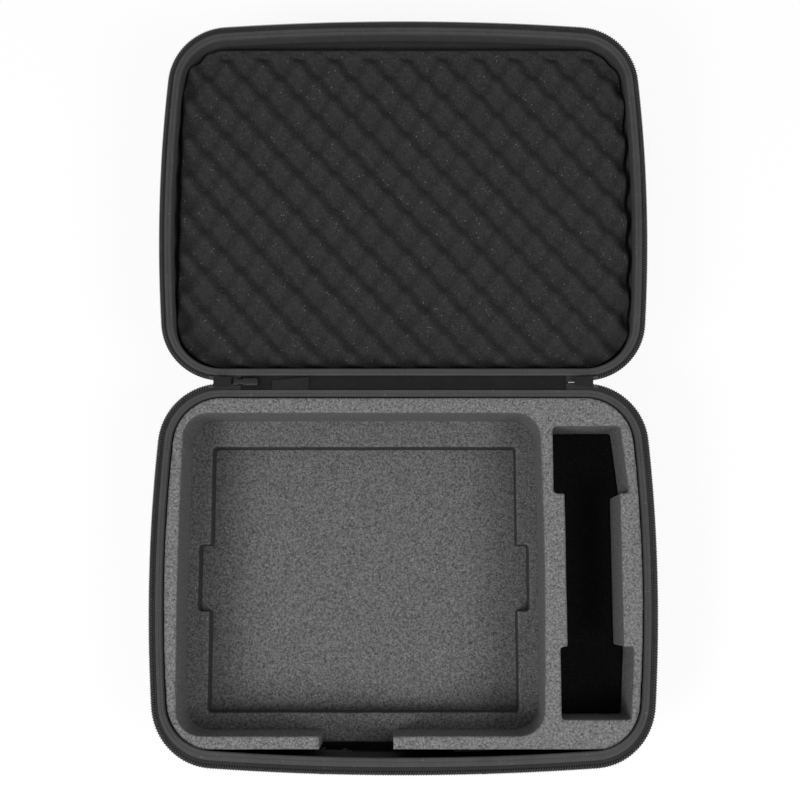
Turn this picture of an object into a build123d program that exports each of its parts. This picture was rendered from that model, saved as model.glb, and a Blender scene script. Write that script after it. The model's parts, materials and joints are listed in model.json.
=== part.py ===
from build123d import *
import os
from math import ceil

# A zippered hard case lying open and flat. The base stands on its own floor with the lid level behind it.
# The origin is the centre of the base's resting face. +X is to the right, +Y towards the lid, +Z up.
# All sizes are millimetres.

os.makedirs("parts", exist_ok=True)

# Plan of the moulded shells, alike for both halves so that the rims meet
case_width = 439.0
case_length = 331.0
side_bow = 9.0
front_bow = 9.0
corner_radius = 50.0

# Moulded shells
base_height = 101.0
lid_depth = 38.0
shell_wall = 3.5
base_edge_radius = 22.0
lid_edge_radius = 16.0
panel_inset = 34.0
panel_rise = 1.4

# Fabric lining inside the shells
lining_thickness = 0.8

# Binding tape sewn over the rim
binding_thickness = 0.8
binding_leg_thickness = 0.6
binding_leg_depth = 8.0

# Hinge strip and the plane where the two rims meet when the case is shut
hinge_strip_width = 15.0
hinge_strip_end_gap = 22.0
shut_gap = 8.0
outer_strip_thickness = 1.2
inner_strip_thickness = 0.8
strip_lift = 0.1
strip_leg_depth = 12.0

# Zip tape and coil
tape_thickness = 0.8
tape_reach = 6.0
tape_leg_depth = 9.0
coil_inner_reach = 3.0
coil_root_reach = 5.2
coil_tip_reach = 6.4
coil_thickness = 1.8
coil_pitch = 3.4
coil_tooth_share = 0.5
coil_shut_gap = 0.2
zip_corner_setback = 47.5
end_stop_length = 4.0
end_stop_gap = 0.3

# Foam insert of the base
foam_gap = 1.0
foam_front_gap = 13.9
floor_pad_thickness = 8.0
ledge_depth = 60.0
well_depth = 28.0
foam_edge_radius = 15.0

# Mixer bay and the deeper well in its floor
bay_width = 322.0
bay_length = 285.0
bay_center_x = -37.6
bay_center_y = 2.7
bay_corner_radius = 22.0
bay_side_bow = 2.2
well_width = 286.5
well_length = 245.2
well_center_x = -36.8
well_center_y = -2.1
finger_notch_depth = 11.0
finger_notch_length = 61.0
finger_notch_center_y = -2.1
cable_notch_width = 64.4
cable_notch_center_x = -41.3

# Long side pocket: a wide head, a narrow middle and a wide tail
pocket_back = 133.0
pocket_head_front = 72.7
pocket_tail_back = -63.2
pocket_front = -126.0
pocket_head_left = 135.4
pocket_head_right_back = 196.1
pocket_head_right_front = 202.8
pocket_middle_left = 145.4
pocket_middle_right = 194.7
pocket_tail_left = 139.1
pocket_tail_right_back = 203.7
pocket_tail_right_front = 199.7
pocket_pad_thickness = 4.0
pocket_pad_gap = 0.3

# Egg crate foam in the lid
crate_side_gap = 5.4
crate_near_gap = 5.0
crate_far_gap = 10.0
crate_half_pitch = 16.75
crate_row_pitch = 17.8
crate_pit_height = 9.0
crate_peak_height = 25.0
crate_phase = 17.5

# Bare woven tab at the hinge
tab_width = 33.6
tab_center_x = -102.5
tab_short_side = 9.4
tab_long_side = 12.6
tab_thickness = 0.6
tab_lift = 0.05

# Zip sliders
slider_length = 16.0
slider_width = 10.0
slider_nose_width = 7.0
slider_plate = 1.2
slider_opening = 5.8
slider_post_length = 3.0
slider_post_width = 2.0
slider_end_gap = 0.5
bail_bar_radius = 0.9
bail_lug_width = 1.0
bail_lug_spacing = 5.4
bail_lug_length = 4.4
bail_bar_drop = 2.6
bail_offset = 8.0
running_gap = 0.06

# Pulls
pull_width = 4.8
pull_eye_radius = 2.1
pull_tongue_length = 10.0
tongue_share = 0.6
grip_length = 19.0
grip_width = 7.0
grip_thickness = 4.2
grip_corner_radius = 1.6
grip_end_radius = 1.0
cord_radius = 1.2
cord_bury = 0.6
cord_rise_offset = 3.0
toggle_radius = 1.0
toggle_length = 7.0
toggle_height = 3.4
grip_ear_thickness = 1.4

# Carry handle on the front wall
handle_span = 128.0
handle_pivot_height = 62.0
handle_pivot_stand_off = 7.6
handle_drop = 36.0
anchor_width = 34.0
anchor_height = 46.0
anchor_thickness = 3.2
anchor_corner_radius = 5.0
anchor_share_below = 0.83
lug_thickness = 4.0
lug_radius = 4.2
eye_width = 12.0
eye_gap = 0.4
eye_radius = 3.6
pin_radius = 2.0
pin_head_radius = 3.2
pin_head_thickness = 1.4
pin_end_gap = 0.1
core_thickness = 3.0
core_width = 11.0
handle_grip_width = 20.0
handle_grip_thickness = 8.4
handle_grip_length = 96.0
handle_grip_corner = 3.6
core_bend_radius = 9.0
rivet_radius = 2.0
rivet_head_radius = 4.2
rivet_head_thickness = 1.3
rivet_tail_radius = 3.4
rivet_gap = 0.25
rivet_spacing = 20.0
rivet_drop = 29.0
backing_plate_thickness = 1.5
backing_plate_height = 12.0

# Derived places
rim_z = base_height
half_length = case_length / 2
hinge_y = half_length + hinge_strip_width / 2
hinge_z = rim_z + shut_gap / 2
zip_start = case_width / 2 - zip_corner_setback
hinge_strip_length = 2 * (zip_start - hinge_strip_end_gap)
foam_front = half_length - foam_front_gap
binding_leg_inset = shell_wall + lining_thickness
foam_inset = binding_leg_inset + binding_leg_thickness + foam_gap
foam_bottom = shell_wall + lining_thickness
well_floor_z = foam_bottom + floor_pad_thickness
ledge_z = well_floor_z + well_depth
foam_top = ledge_z + ledge_depth
tape_top = (shut_gap - coil_shut_gap) / 2 - coil_thickness
tape_bottom = tape_top - tape_thickness
coil_start = zip_start + end_stop_length + end_stop_gap
crate_bottom = rim_z - lid_depth + shell_wall + lining_thickness
pivot_y = -(half_length + handle_pivot_stand_off)


def base_plane(height):
    """Plane of the base at a height above the resting face."""
    return Plane((0, 0, height))


def lid_plane(height):
    """The same plane turned half round about the hinge line, for the open lid."""
    return Plane((0, 2 * hinge_y, height), x_dir=(-1, 0, 0), z_dir=(0, 0, 1))


def case_plan(inset):
    """Plan of a half: a straight hinge side, three bowed sides and round corners."""
    middle_x = case_width / 2 - inset
    corner_x = middle_x - side_bow
    back = half_length - inset
    front = half_length - front_bow - inset
    with BuildSketch() as plan:
        with BuildLine():
            Line((-corner_x, back), (corner_x, back))
            ThreePointArc((corner_x, back), (middle_x, (back - front) / 2), (corner_x, -front))
            ThreePointArc((corner_x, -front), (0, inset - half_length), (-corner_x, -front))
            ThreePointArc((-corner_x, -front), (-middle_x, (back - front) / 2), (-corner_x, back))
        make_face()
        fillet(plan.vertices(), radius=corner_radius - inset)
    return plan.sketch


def rounded_block(plane, inset, depth, edge_radius):
    """A solid under the plane with the case's plan and a rounded lower edge."""
    with BuildPart() as block:
        with BuildSketch(plane):
            add(case_plan(inset))
        extrude(amount=-depth)
        fillet(block.faces().sort_by(Axis.Z)[0].edges(), radius=edge_radius)
    return block.part


def rim_band(plane, outer_inset, inner_inset, height):
    """A band that follows the rim between two insets, standing on the plane."""
    with BuildPart() as band:
        with BuildSketch(plane):
            add(case_plan(outer_inset))
            add(case_plan(inner_inset), mode=Mode.SUBTRACT)
        extrude(amount=height)
    return band.part


def rim_path(reach):
    """The outline at a reach outside the shell, as one closed wire."""
    return case_plan(-reach).face().outer_wire()


def finish(piece, name):
    """Label the piece and write its STEP file."""
    piece.label = name
    export_step(piece, "parts/" + name + ".step")
    print(name, "solids", len(piece.solids()), "volume", round(piece.volume, 1))


# Sites of the four rivets on the front wall, as (x, z)
rivet_sites = [
    (side * handle_span / 2 + across * rivet_spacing / 2, handle_pivot_height - rivet_drop)
    for side in (-1, 1)
    for across in (-1, 1)
]


def wall_face(x):
    """Y of the bowed front wall's outer face at x."""
    corner_x = case_width / 2 - side_bow
    return front_bow * (x / corner_x) ** 2 - half_length


def front_cylinders(radius, outside, inside):
    """Cylinders along Y at the rivet sites, between two depths from the wall's outer face."""
    with BuildPart() as pegs:
        for x, z in rivet_sites:
            with BuildSketch(Plane((x, wall_face(x) + outside, z), x_dir=(1, 0, 0), z_dir=(0, 1, 0))):
                Circle(radius)
            extrude(amount=inside - outside)
    return pegs.part


rivet_outside = -anchor_thickness - rivet_gap
rivet_inside = binding_leg_inset + backing_plate_thickness + rivet_gap
rivet_holes = front_cylinders(
    rivet_radius + running_gap,
    rivet_outside - rivet_head_thickness,
    rivet_inside + rivet_head_thickness,
)

# Base shell
base_outer = rounded_block(base_plane(rim_z), 0, base_height, base_edge_radius)
base_inner = rounded_block(
    base_plane(rim_z), shell_wall, base_height - shell_wall, base_edge_radius - shell_wall
)
with BuildPart() as base_shell:
    add(base_outer)
    add(base_inner, mode=Mode.SUBTRACT)
    add(rivet_holes, mode=Mode.SUBTRACT)
finish(base_shell.part, "base_shell")

# Base lining
base_lining_inner = rounded_block(
    base_plane(rim_z),
    shell_wall + lining_thickness,
    base_height - shell_wall - lining_thickness,
    base_edge_radius - shell_wall - lining_thickness,
)
with BuildPart() as base_lining:
    add(base_inner)
    add(base_lining_inner, mode=Mode.SUBTRACT)
    add(rivet_holes, mode=Mode.SUBTRACT)
finish(base_lining.part, "base_lining")

# Lid shell with its raised outer panel
lid_outer = rounded_block(lid_plane(rim_z), 0, lid_depth, lid_edge_radius)
lid_inner = rounded_block(
    lid_plane(rim_z), shell_wall, lid_depth - shell_wall, lid_edge_radius - shell_wall
)
with BuildPart() as lid_shell:
    add(lid_outer)
    with BuildSketch(lid_plane(rim_z - lid_depth)):
        add(case_plan(panel_inset))
    extrude(amount=-panel_rise)
    add(lid_inner, mode=Mode.SUBTRACT)
finish(lid_shell.part, "lid_shell")

# Lid lining
lid_lining_inner = rounded_block(
    lid_plane(rim_z),
    shell_wall + lining_thickness,
    lid_depth - shell_wall - lining_thickness,
    lid_edge_radius - shell_wall - lining_thickness,
)
with BuildPart() as lid_lining:
    add(lid_inner)
    add(lid_lining_inner, mode=Mode.SUBTRACT)
finish(lid_lining.part, "lid_lining")


def rim_binding(plane_at):
    """Binding tape: a strip over the rim's edge and a leg down its inside."""
    top = rim_band(plane_at(rim_z), 0, binding_leg_inset + binding_leg_thickness, binding_thickness)
    leg = rim_band(
        plane_at(rim_z - binding_leg_depth),
        binding_leg_inset,
        binding_leg_inset + binding_leg_thickness,
        binding_leg_depth,
    )
    with BuildPart() as binding:
        add(top)
        add(leg)
    return binding.part


def hinge_side_cut(plane_at, start):
    """The block along the hinge side where a part of the zip stops, at a distance from the middle."""
    with BuildPart() as block:
        with BuildSketch(plane_at(rim_z - tape_leg_depth - 1)):
            with Locations((0, half_length)):
                Rectangle(2 * start, 2 * corner_radius)
        extrude(amount=tape_leg_depth + shut_gap)
    return block.part


def zip_tape(plane_at):
    """Zip tape: a sewn leg on the shell's outer face and a flange that carries the coil."""
    leg = rim_band(
        plane_at(rim_z - tape_leg_depth), -tape_thickness, 0, tape_leg_depth + tape_top
    )
    flange = rim_band(plane_at(rim_z + tape_bottom), -tape_reach, 0, tape_thickness)
    with BuildPart() as tape:
        add(leg)
        add(flange)
        add(hinge_side_cut(plane_at, zip_start), mode=Mode.SUBTRACT)
    return tape.part


def zip_coil(plane_at):
    """Zip coil: a toothed band on the tape, its teeth spaced evenly along the rim."""
    root = rim_path(coil_root_reach)
    tip = rim_path(coil_tip_reach)
    count = ceil(root.length / coil_pitch)
    teeth = []
    for tooth in range(count):
        teeth.append(root.position_at(tooth / count))
        teeth.append(tip.position_at((tooth + coil_tooth_share) / count))
    with BuildPart() as coil:
        with BuildSketch(plane_at(rim_z + tape_top)):
            with BuildLine():
                Polyline([(point.X, point.Y) for point in teeth], close=True)
            make_face()
            add(case_plan(-coil_inner_reach), mode=Mode.SUBTRACT)
        extrude(amount=coil_thickness)
        add(hinge_side_cut(plane_at, coil_start), mode=Mode.SUBTRACT)
    return coil.part


def zip_end_stops(plane_at):
    """Two moulded stops on the tape, one ahead of the first tooth at each end of the coil."""
    band = rim_band(
        plane_at(rim_z + tape_top), -coil_root_reach, -coil_inner_reach, coil_thickness
    )
    with BuildPart() as stops:
        with BuildSketch(plane_at(rim_z + tape_top)):
            for side in (-1, 1):
                with Locations((side * (zip_start + end_stop_length / 2), half_length)):
                    Rectangle(end_stop_length, 2 * coil_tip_reach)
        extrude(amount=coil_thickness)
        add(band, mode=Mode.INTERSECT)
    return stops.part


finish(rim_binding(base_plane), "base_rim_binding")
finish(rim_binding(lid_plane), "lid_rim_binding")
finish(zip_tape(base_plane), "base_zip_tape")
finish(zip_tape(lid_plane), "lid_zip_tape")
finish(zip_coil(base_plane), "base_zip_coil")
finish(zip_coil(lid_plane), "lid_zip_coil")
finish(zip_end_stops(base_plane), "base_zip_end_stops")
finish(zip_end_stops(lid_plane), "lid_zip_end_stops")


def foam_block():
    """The whole foam insert of the base before its recesses are cut."""
    with BuildPart() as block:
        with BuildSketch(base_plane(foam_top)):
            add(case_plan(foam_inset))
            with Locations((0, case_length - foam_front)):
                Rectangle(case_width, 2 * case_length, mode=Mode.INTERSECT)
        extrude(amount=foam_bottom - foam_top)
        fillet(block.faces().sort_by(Axis.Z)[0].edges(), radius=foam_edge_radius)
    return block.part


def bay_plan():
    """Plan of the mixer bay: a rounded rectangle whose sides bow out a little."""
    half_width = bay_width / 2
    half_height = bay_length / 2
    with BuildSketch() as plan:
        with BuildLine():
            Line((-half_width, half_height), (half_width, half_height))
            ThreePointArc(
                (half_width, half_height), (half_width + bay_side_bow, 0), (half_width, -half_height)
            )
            Line((half_width, -half_height), (-half_width, -half_height))
            ThreePointArc(
                (-half_width, -half_height),
                (-half_width - bay_side_bow, 0),
                (-half_width, half_height),
            )
        make_face()
        fillet(plan.vertices(), radius=bay_corner_radius)
    return plan.sketch


def pocket_plan(margin):
    """Plan of the side pocket, drawn in by a margin."""
    with BuildSketch() as plan:
        with BuildLine():
            Polyline(
                (pocket_head_left + margin, pocket_back - margin),
                (pocket_head_right_back - margin, pocket_back - margin),
                (pocket_head_right_front - margin, pocket_head_front + margin),
                (pocket_middle_right - margin, pocket_head_front + margin),
                (pocket_middle_right - margin, pocket_tail_back - margin),
                (pocket_tail_right_back - margin, pocket_tail_back - margin),
                (pocket_tail_right_front - margin, pocket_front + margin),
                (pocket_tail_left + margin, pocket_front + margin),
                (pocket_tail_left + margin, pocket_tail_back - margin),
                (pocket_middle_left + margin, pocket_tail_back - margin),
                (pocket_middle_left + margin, pocket_head_front + margin),
                (pocket_head_left + margin, pocket_head_front + margin),
                close=True,
            )
        make_face()
    return plan.sketch


insert = foam_block()

with BuildPart() as foam_floor_pad:
    add(insert)
    split(bisect_by=base_plane(well_floor_z), keep=Keep.BOTTOM)
finish(foam_floor_pad.part, "foam_floor_pad")

with BuildPart() as foam_ledge_layer:
    add(insert)
    split(bisect_by=base_plane(well_floor_z), keep=Keep.TOP)
    split(bisect_by=base_plane(ledge_z), keep=Keep.BOTTOM)
    with BuildSketch(base_plane(ledge_z)):
        with Locations((well_center_x, well_center_y)):
            Rectangle(well_width, well_length)
        with Locations((well_center_x, finger_notch_center_y)):
            Rectangle(well_width + 2 * finger_notch_depth, finger_notch_length)
    extrude(amount=-well_depth, mode=Mode.SUBTRACT)
finish(foam_ledge_layer.part, "foam_ledge_layer")

with BuildPart() as foam_top_frame:
    add(insert)
    split(bisect_by=base_plane(ledge_z), keep=Keep.TOP)
    with BuildSketch(base_plane(foam_top)):
        with Locations((bay_center_x, bay_center_y)):
            add(bay_plan())
        with Locations((cable_notch_center_x, -foam_front)):
            Rectangle(cable_notch_width, bay_length / 2)
        add(pocket_plan(0))
    extrude(amount=-ledge_depth, mode=Mode.SUBTRACT)
finish(foam_top_frame.part, "foam_top_frame")

with BuildPart() as side_pocket_pad:
    with BuildSketch(base_plane(ledge_z)):
        add(pocket_plan(pocket_pad_gap))
    extrude(amount=pocket_pad_thickness)
finish(side_pocket_pad.part, "side_pocket_pad")


def egg_crate_block(columns, rows, start_x, start_y):
    """A slab whose top has peaks and pits on a checkered grid, four facets to a cell."""
    middle = crate_bottom + (crate_pit_height + crate_peak_height) / 2
    swing = (crate_peak_height - crate_pit_height) / 2

    def knot(column, row):
        lift = swing if (column + row) % 2 == 0 else -swing
        return Vector(
            start_x + column * crate_half_pitch, start_y + row * crate_row_pitch, middle + lift
        )

    def foot(column, row):
        point = knot(column, row)
        return Vector(point.X, point.Y, crate_bottom)

    def facet(*points):
        return Face(Wire.make_polygon(points, close=True))

    faces = []
    for column in range(columns):
        for row in range(rows):
            ring = [
                knot(column, row),
                knot(column + 1, row),
                knot(column + 1, row + 1),
                knot(column, row + 1),
            ]
            saddle = Vector(
                start_x + (column + 0.5) * crate_half_pitch,
                start_y + (row + 0.5) * crate_row_pitch,
                middle,
            )
            for side in range(4):
                faces.append(facet(ring[side], ring[(side + 1) % 4], saddle))
    front_edge = [knot(column, 0) for column in range(columns + 1)]
    back_edge = [knot(column, rows) for column in range(columns + 1)]
    left_edge = [knot(0, row) for row in range(rows + 1)]
    right_edge = [knot(columns, row) for row in range(rows + 1)]
    corners = [foot(0, 0), foot(columns, 0), foot(columns, rows), foot(0, rows)]
    faces.append(facet(*front_edge, corners[1], corners[0]))
    faces.append(facet(*back_edge, corners[2], corners[3]))
    faces.append(facet(*left_edge, corners[3], corners[0]))
    faces.append(facet(*right_edge, corners[2], corners[1]))
    faces.append(facet(*corners))
    return Solid(Shell(faces))


# Egg crate foam, cut from a larger sheet to the lid's plan
crate_half_width = case_width / 2 - binding_leg_inset - crate_side_gap
crate_near_y = 2 * hinge_y - half_length + binding_leg_inset + crate_near_gap
crate_far_y = 2 * hinge_y + half_length - binding_leg_inset - crate_far_gap
crate_side_columns = 2 * (ceil(crate_half_width / crate_half_pitch / 2) + 1)
crate_rows = ceil((crate_far_y - crate_near_y) / crate_row_pitch) + 2
crate_sheet = egg_crate_block(
    2 * crate_side_columns,
    crate_rows,
    crate_phase - crate_side_columns * crate_half_pitch,
    crate_near_y - crate_row_pitch,
)
crate_room = rounded_block(
    lid_plane(rim_z),
    foam_inset,
    lid_depth - binding_leg_inset,
    lid_edge_radius - foam_inset,
)
with BuildPart() as egg_crate_foam:
    with BuildSketch(Plane.XY.offset(crate_bottom)):
        with Locations((0, (crate_near_y + crate_far_y) / 2)):
            RectangleRounded(
                2 * crate_half_width, crate_far_y - crate_near_y, corner_radius - foam_inset
            )
    extrude(amount=crate_peak_height)
    add(crate_sheet, mode=Mode.INTERSECT)
    add(crate_room, mode=Mode.INTERSECT)
finish(egg_crate_foam.part, "egg_crate_foam")

# Hinge strip: the outer webbing with its sewn legs, and the lining tape on it
with BuildPart() as hinge_strip_outer:
    with BuildSketch(Plane.YZ.offset(-hinge_strip_length / 2)):
        with Locations((hinge_y, rim_z + strip_lift - outer_strip_thickness / 2)):
            Rectangle(hinge_strip_width, outer_strip_thickness)
        for side in (-1, 1):
            leg_y = hinge_y + side * (hinge_strip_width - outer_strip_thickness) / 2
            with Locations((leg_y, rim_z + strip_lift - strip_leg_depth / 2)):
                Rectangle(outer_strip_thickness, strip_leg_depth)
    extrude(amount=hinge_strip_length)
finish(hinge_strip_outer.part, "hinge_strip_outer")

with BuildPart() as hinge_strip_inner:
    with BuildSketch(base_plane(rim_z + strip_lift)):
        with Locations((0, hinge_y)):
            Rectangle(hinge_strip_length, hinge_strip_width)
    extrude(amount=inner_strip_thickness)
finish(hinge_strip_inner.part, "hinge_strip_inner")

# Bare woven tab, sewn in at the base's binding and lying on the strip
with BuildPart() as label_tab:
    with BuildSketch(base_plane(rim_z + strip_lift + inner_strip_thickness + tab_lift)):
        with BuildLine():
            Polyline(
                (tab_center_x - tab_width / 2, half_length),
                (tab_center_x + tab_width / 2, half_length),
                (tab_center_x + tab_width / 2, half_length + tab_long_side),
                (tab_center_x - tab_width / 2, half_length + tab_short_side),
                close=True,
            )
        make_face()
    extrude(amount=tab_thickness)
finish(label_tab.part, "label_tab")


def zip_slider(side):
    """A slider: two plates joined by a post at its leading end, and a bail under the lower one."""
    outer_end = zip_start - slider_end_gap
    plate_low = hinge_z - slider_opening / 2 - slider_plate
    bail_x = side * (outer_end - bail_offset)
    with BuildPart() as slider:
        for low in (plate_low, hinge_z + slider_opening / 2):
            with BuildSketch(base_plane(low)):
                with BuildLine():
                    Polyline(
                        (side * outer_end, hinge_y - slider_width / 2),
                        (side * outer_end, hinge_y + slider_width / 2),
                        (side * (outer_end - slider_length), hinge_y + slider_nose_width / 2),
                        (side * (outer_end - slider_length), hinge_y - slider_nose_width / 2),
                        close=True,
                    )
                make_face()
            extrude(amount=slider_plate)
        with BuildSketch(base_plane(hinge_z - slider_opening / 2)):
            with Locations((side * (outer_end - slider_post_length / 2), hinge_y)):
                Rectangle(slider_post_length, slider_post_width)
        extrude(amount=slider_opening)
        for ear in (-1, 1):
            ear_y = hinge_y + ear * (bail_lug_spacing + bail_lug_width) / 2
            with BuildSketch(base_plane(plate_low)):
                with Locations((bail_x, ear_y)):
                    Rectangle(4 * bail_bar_radius, bail_lug_width)
            extrude(amount=-bail_lug_length)
        with BuildSketch(Plane((bail_x, hinge_y, plate_low - bail_bar_drop), z_dir=(0, 1, 0))):
            Circle(bail_bar_radius)
        extrude(amount=bail_lug_spacing / 2, both=True)
    return slider.part


slider_plate_low = hinge_z - slider_opening / 2 - slider_plate
bail_x = zip_start - slider_end_gap - bail_offset
bail_z = slider_plate_low - bail_bar_drop
finish(zip_slider(-1), "left_slider_body")
finish(zip_slider(1), "right_slider_body")

# Pull of the right slider, hanging from its bail
with BuildPart() as right_pull_tongue:
    with BuildSketch(Plane((bail_x, hinge_y, bail_z), x_dir=(1, 0, 0), z_dir=(0, 1, 0))):
        Circle(pull_eye_radius)
        with Locations((0, pull_tongue_length / 2)):
            Rectangle(pull_eye_radius * 2 * tongue_share, pull_tongue_length)
        Circle(bail_bar_radius + running_gap, mode=Mode.SUBTRACT)
    extrude(amount=pull_width / 2, both=True)
finish(right_pull_tongue.part, "right_pull_tongue")

with BuildPart() as right_pull_grip:
    with BuildSketch(base_plane(bail_z - pull_tongue_length)):
        with Locations((bail_x, hinge_y)):
            RectangleRounded(grip_thickness, grip_width, grip_corner_radius)
    extrude(amount=-grip_length)
    fillet(right_pull_grip.faces().sort_by(Axis.Z)[0].edges(), radius=grip_end_radius)
finish(right_pull_grip.part, "right_pull_grip")

# Cord of the left slider: round its bail, inwards past the nose and up to a toggle over the strip
toggle_x = -(zip_start - slider_end_gap - slider_length - cord_rise_offset)
toggle_z = rim_z + toggle_height
with BuildPart() as left_pull_cord:
    with BuildSketch(Plane((-bail_x, hinge_y, bail_z), x_dir=(1, 0, 0), z_dir=(0, 1, 0))):
        Circle(pull_eye_radius)
        Circle(bail_bar_radius + running_gap, mode=Mode.SUBTRACT)
    extrude(amount=cord_radius, both=True)
    with BuildSketch(Plane((pull_eye_radius - bail_x - cord_bury, hinge_y, bail_z), z_dir=(1, 0, 0))):
        Circle(cord_radius)
    extrude(amount=toggle_x + bail_x - pull_eye_radius + cord_bury)
    with BuildSketch(base_plane(bail_z)):
        with Locations((toggle_x, hinge_y)):
            Circle(cord_radius)
    extrude(amount=toggle_z - bail_z)
    with BuildSketch(Plane((toggle_x, hinge_y, bail_z), z_dir=(0, 1, 0))):
        Circle(cord_radius)
    extrude(amount=cord_radius, both=True)
    with BuildSketch(Plane((toggle_x, hinge_y, toggle_z), z_dir=(0, 1, 0))):
        Circle(toggle_radius)
    extrude(amount=toggle_length / 2, both=True)
finish(left_pull_cord.part, "left_pull_cord")

with BuildPart() as left_pull_grip:
    with BuildSketch(Plane((toggle_x, hinge_y, toggle_z), x_dir=(1, 0, 0), z_dir=(0, -1, 0))):
        Circle(grip_thickness / 2)
        with Locations((grip_length / 2, 0)):
            Rectangle(grip_length, grip_thickness)
        with Locations((grip_length, 0)):
            Circle(grip_thickness / 2)
        Circle(toggle_radius + running_gap, mode=Mode.SUBTRACT)
    extrude(amount=toggle_length / 2, both=True)
    with BuildSketch(base_plane(toggle_z - grip_thickness)):
        with Locations((toggle_x, hinge_y)):
            Rectangle(2 * grip_thickness, toggle_length - 2 * grip_ear_thickness)
    extrude(amount=2 * grip_thickness, mode=Mode.SUBTRACT)
finish(left_pull_grip.part, "left_pull_grip")


def anchor_lug(x):
    """A lug with a rounded nose round the pin's hole and a foot against the plate."""
    foot_y = -half_length - anchor_thickness / 2
    with BuildPart() as lug:
        with BuildSketch(Plane((x, 0, 0), x_dir=(0, 1, 0), z_dir=(1, 0, 0))):
            with Locations((pivot_y, handle_pivot_height)):
                Circle(lug_radius)
            with Locations(((pivot_y + foot_y) / 2, handle_pivot_height)):
                Rectangle(foot_y - pivot_y, 2 * lug_radius)
            with Locations((pivot_y, handle_pivot_height)):
                Circle(pin_radius + running_gap, mode=Mode.SUBTRACT)
        extrude(amount=lug_thickness / 2, both=True)
    return lug.part


lug_offset = eye_width / 2 + eye_gap + lug_thickness / 2
anchor_low = handle_pivot_height - anchor_height * anchor_share_below
with BuildPart() as handle_anchors:
    with BuildSketch(base_plane(anchor_low)):
        for side in (-1, 1):
            with Locations((side * handle_span / 2, -half_length)):
                Rectangle(anchor_width, 2 * corner_radius)
    extrude(amount=anchor_height)
    fillet(handle_anchors.edges().filter_by(Axis.Y), radius=anchor_corner_radius)
    add(rim_band(base_plane(anchor_low), -anchor_thickness, 0, anchor_height), mode=Mode.INTERSECT)
    for side in (-1, 1):
        for across in (-1, 1):
            add(anchor_lug(side * handle_span / 2 + across * lug_offset))
    add(rounded_block(base_plane(rim_z), 0, base_height, base_edge_radius), mode=Mode.SUBTRACT)
    add(rivet_holes, mode=Mode.SUBTRACT)
finish(handle_anchors.part, "handle_anchors")

# Pins through the lugs and the handle's eyes
with BuildPart() as handle_pins:
    for side in (-1, 1):
        half_pin = lug_offset + lug_thickness / 2 + pin_end_gap
        pin_plane = Plane((side * handle_span / 2, pivot_y, handle_pivot_height), z_dir=(1, 0, 0))
        with BuildSketch(pin_plane):
            Circle(pin_radius)
        extrude(amount=half_pin, both=True)
        for across in (-1, 1):
            with BuildSketch(pin_plane.offset(across * half_pin)):
                Circle(pin_head_radius)
            extrude(amount=across * pin_head_thickness)
finish(handle_pins.part, "handle_pins")

# Rivets and the backing plates inside the lining
with BuildPart() as handle_rivets:
    add(front_cylinders(rivet_radius, rivet_outside, rivet_inside))
    add(front_cylinders(rivet_head_radius, rivet_outside - rivet_head_thickness, rivet_outside))
    add(front_cylinders(rivet_tail_radius, rivet_inside, rivet_inside + rivet_head_thickness))
finish(handle_rivets.part, "handle_rivets")

with BuildPart() as handle_backing_plates:
    with BuildSketch(base_plane(handle_pivot_height - rivet_drop - backing_plate_height / 2)):
        for side in (-1, 1):
            with Locations((side * handle_span / 2, -half_length)):
                Rectangle(anchor_width, 2 * corner_radius)
    extrude(amount=backing_plate_height)
    add(
        rim_band(
            base_plane(handle_pivot_height - rivet_drop - backing_plate_height / 2),
            binding_leg_inset,
            binding_leg_inset + backing_plate_thickness,
            backing_plate_height,
        ),
        mode=Mode.INTERSECT,
    )
    add(rivet_holes, mode=Mode.SUBTRACT)
finish(handle_backing_plates.part, "handle_backing_plates")

# Carry handle: a moulded core with an eye at each end, and the soft grip round its middle
run_z = handle_pivot_height - handle_drop
with BuildPart() as handle_core:
    with BuildSketch(Plane((0, pivot_y, 0), x_dir=(1, 0, 0), z_dir=(0, -1, 0))) as core_plan:
        with Locations((0, (run_z + handle_pivot_height - core_width / 2) / 2)):
            Rectangle(handle_span + core_width, handle_drop + core_width / 2)
        fillet(core_plan.vertices().group_by(Axis.Y)[0], radius=core_bend_radius)
        with Locations((0, handle_pivot_height)):
            Rectangle(handle_span - core_width, 2 * (handle_drop - core_width / 2), mode=Mode.SUBTRACT)
    extrude(amount=core_thickness / 2, both=True)
    for side in (-1, 1):
        eye_plane = Plane((side * handle_span / 2, pivot_y, handle_pivot_height), z_dir=(1, 0, 0))
        with BuildSketch(eye_plane):
            Circle(eye_radius)
        extrude(amount=eye_width / 2, both=True)
        with BuildSketch(eye_plane):
            Circle(pin_radius + running_gap)
        extrude(amount=eye_width, both=True, mode=Mode.SUBTRACT)
finish(handle_core.part, "handle_core")

with BuildPart() as handle_grip:
    with BuildSketch(Plane((-handle_grip_length / 2, pivot_y, run_z), x_dir=(0, 1, 0), z_dir=(1, 0, 0))):
        RectangleRounded(handle_grip_thickness, handle_grip_width, handle_grip_corner)
    extrude(amount=handle_grip_length)
    add(handle_core.part, mode=Mode.SUBTRACT)
finish(handle_grip.part, "handle_grip")
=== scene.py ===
"""Dressed scene of a zippered hard case that lies open.

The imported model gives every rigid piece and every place. This script adds the finishes, models the
foam, cloth, binding tape and zip as meshes of their own, and sets up the studio and the camera.
"""

import json
import logging
import math
from dataclasses import dataclass, field, replace
from enum import Enum

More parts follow.
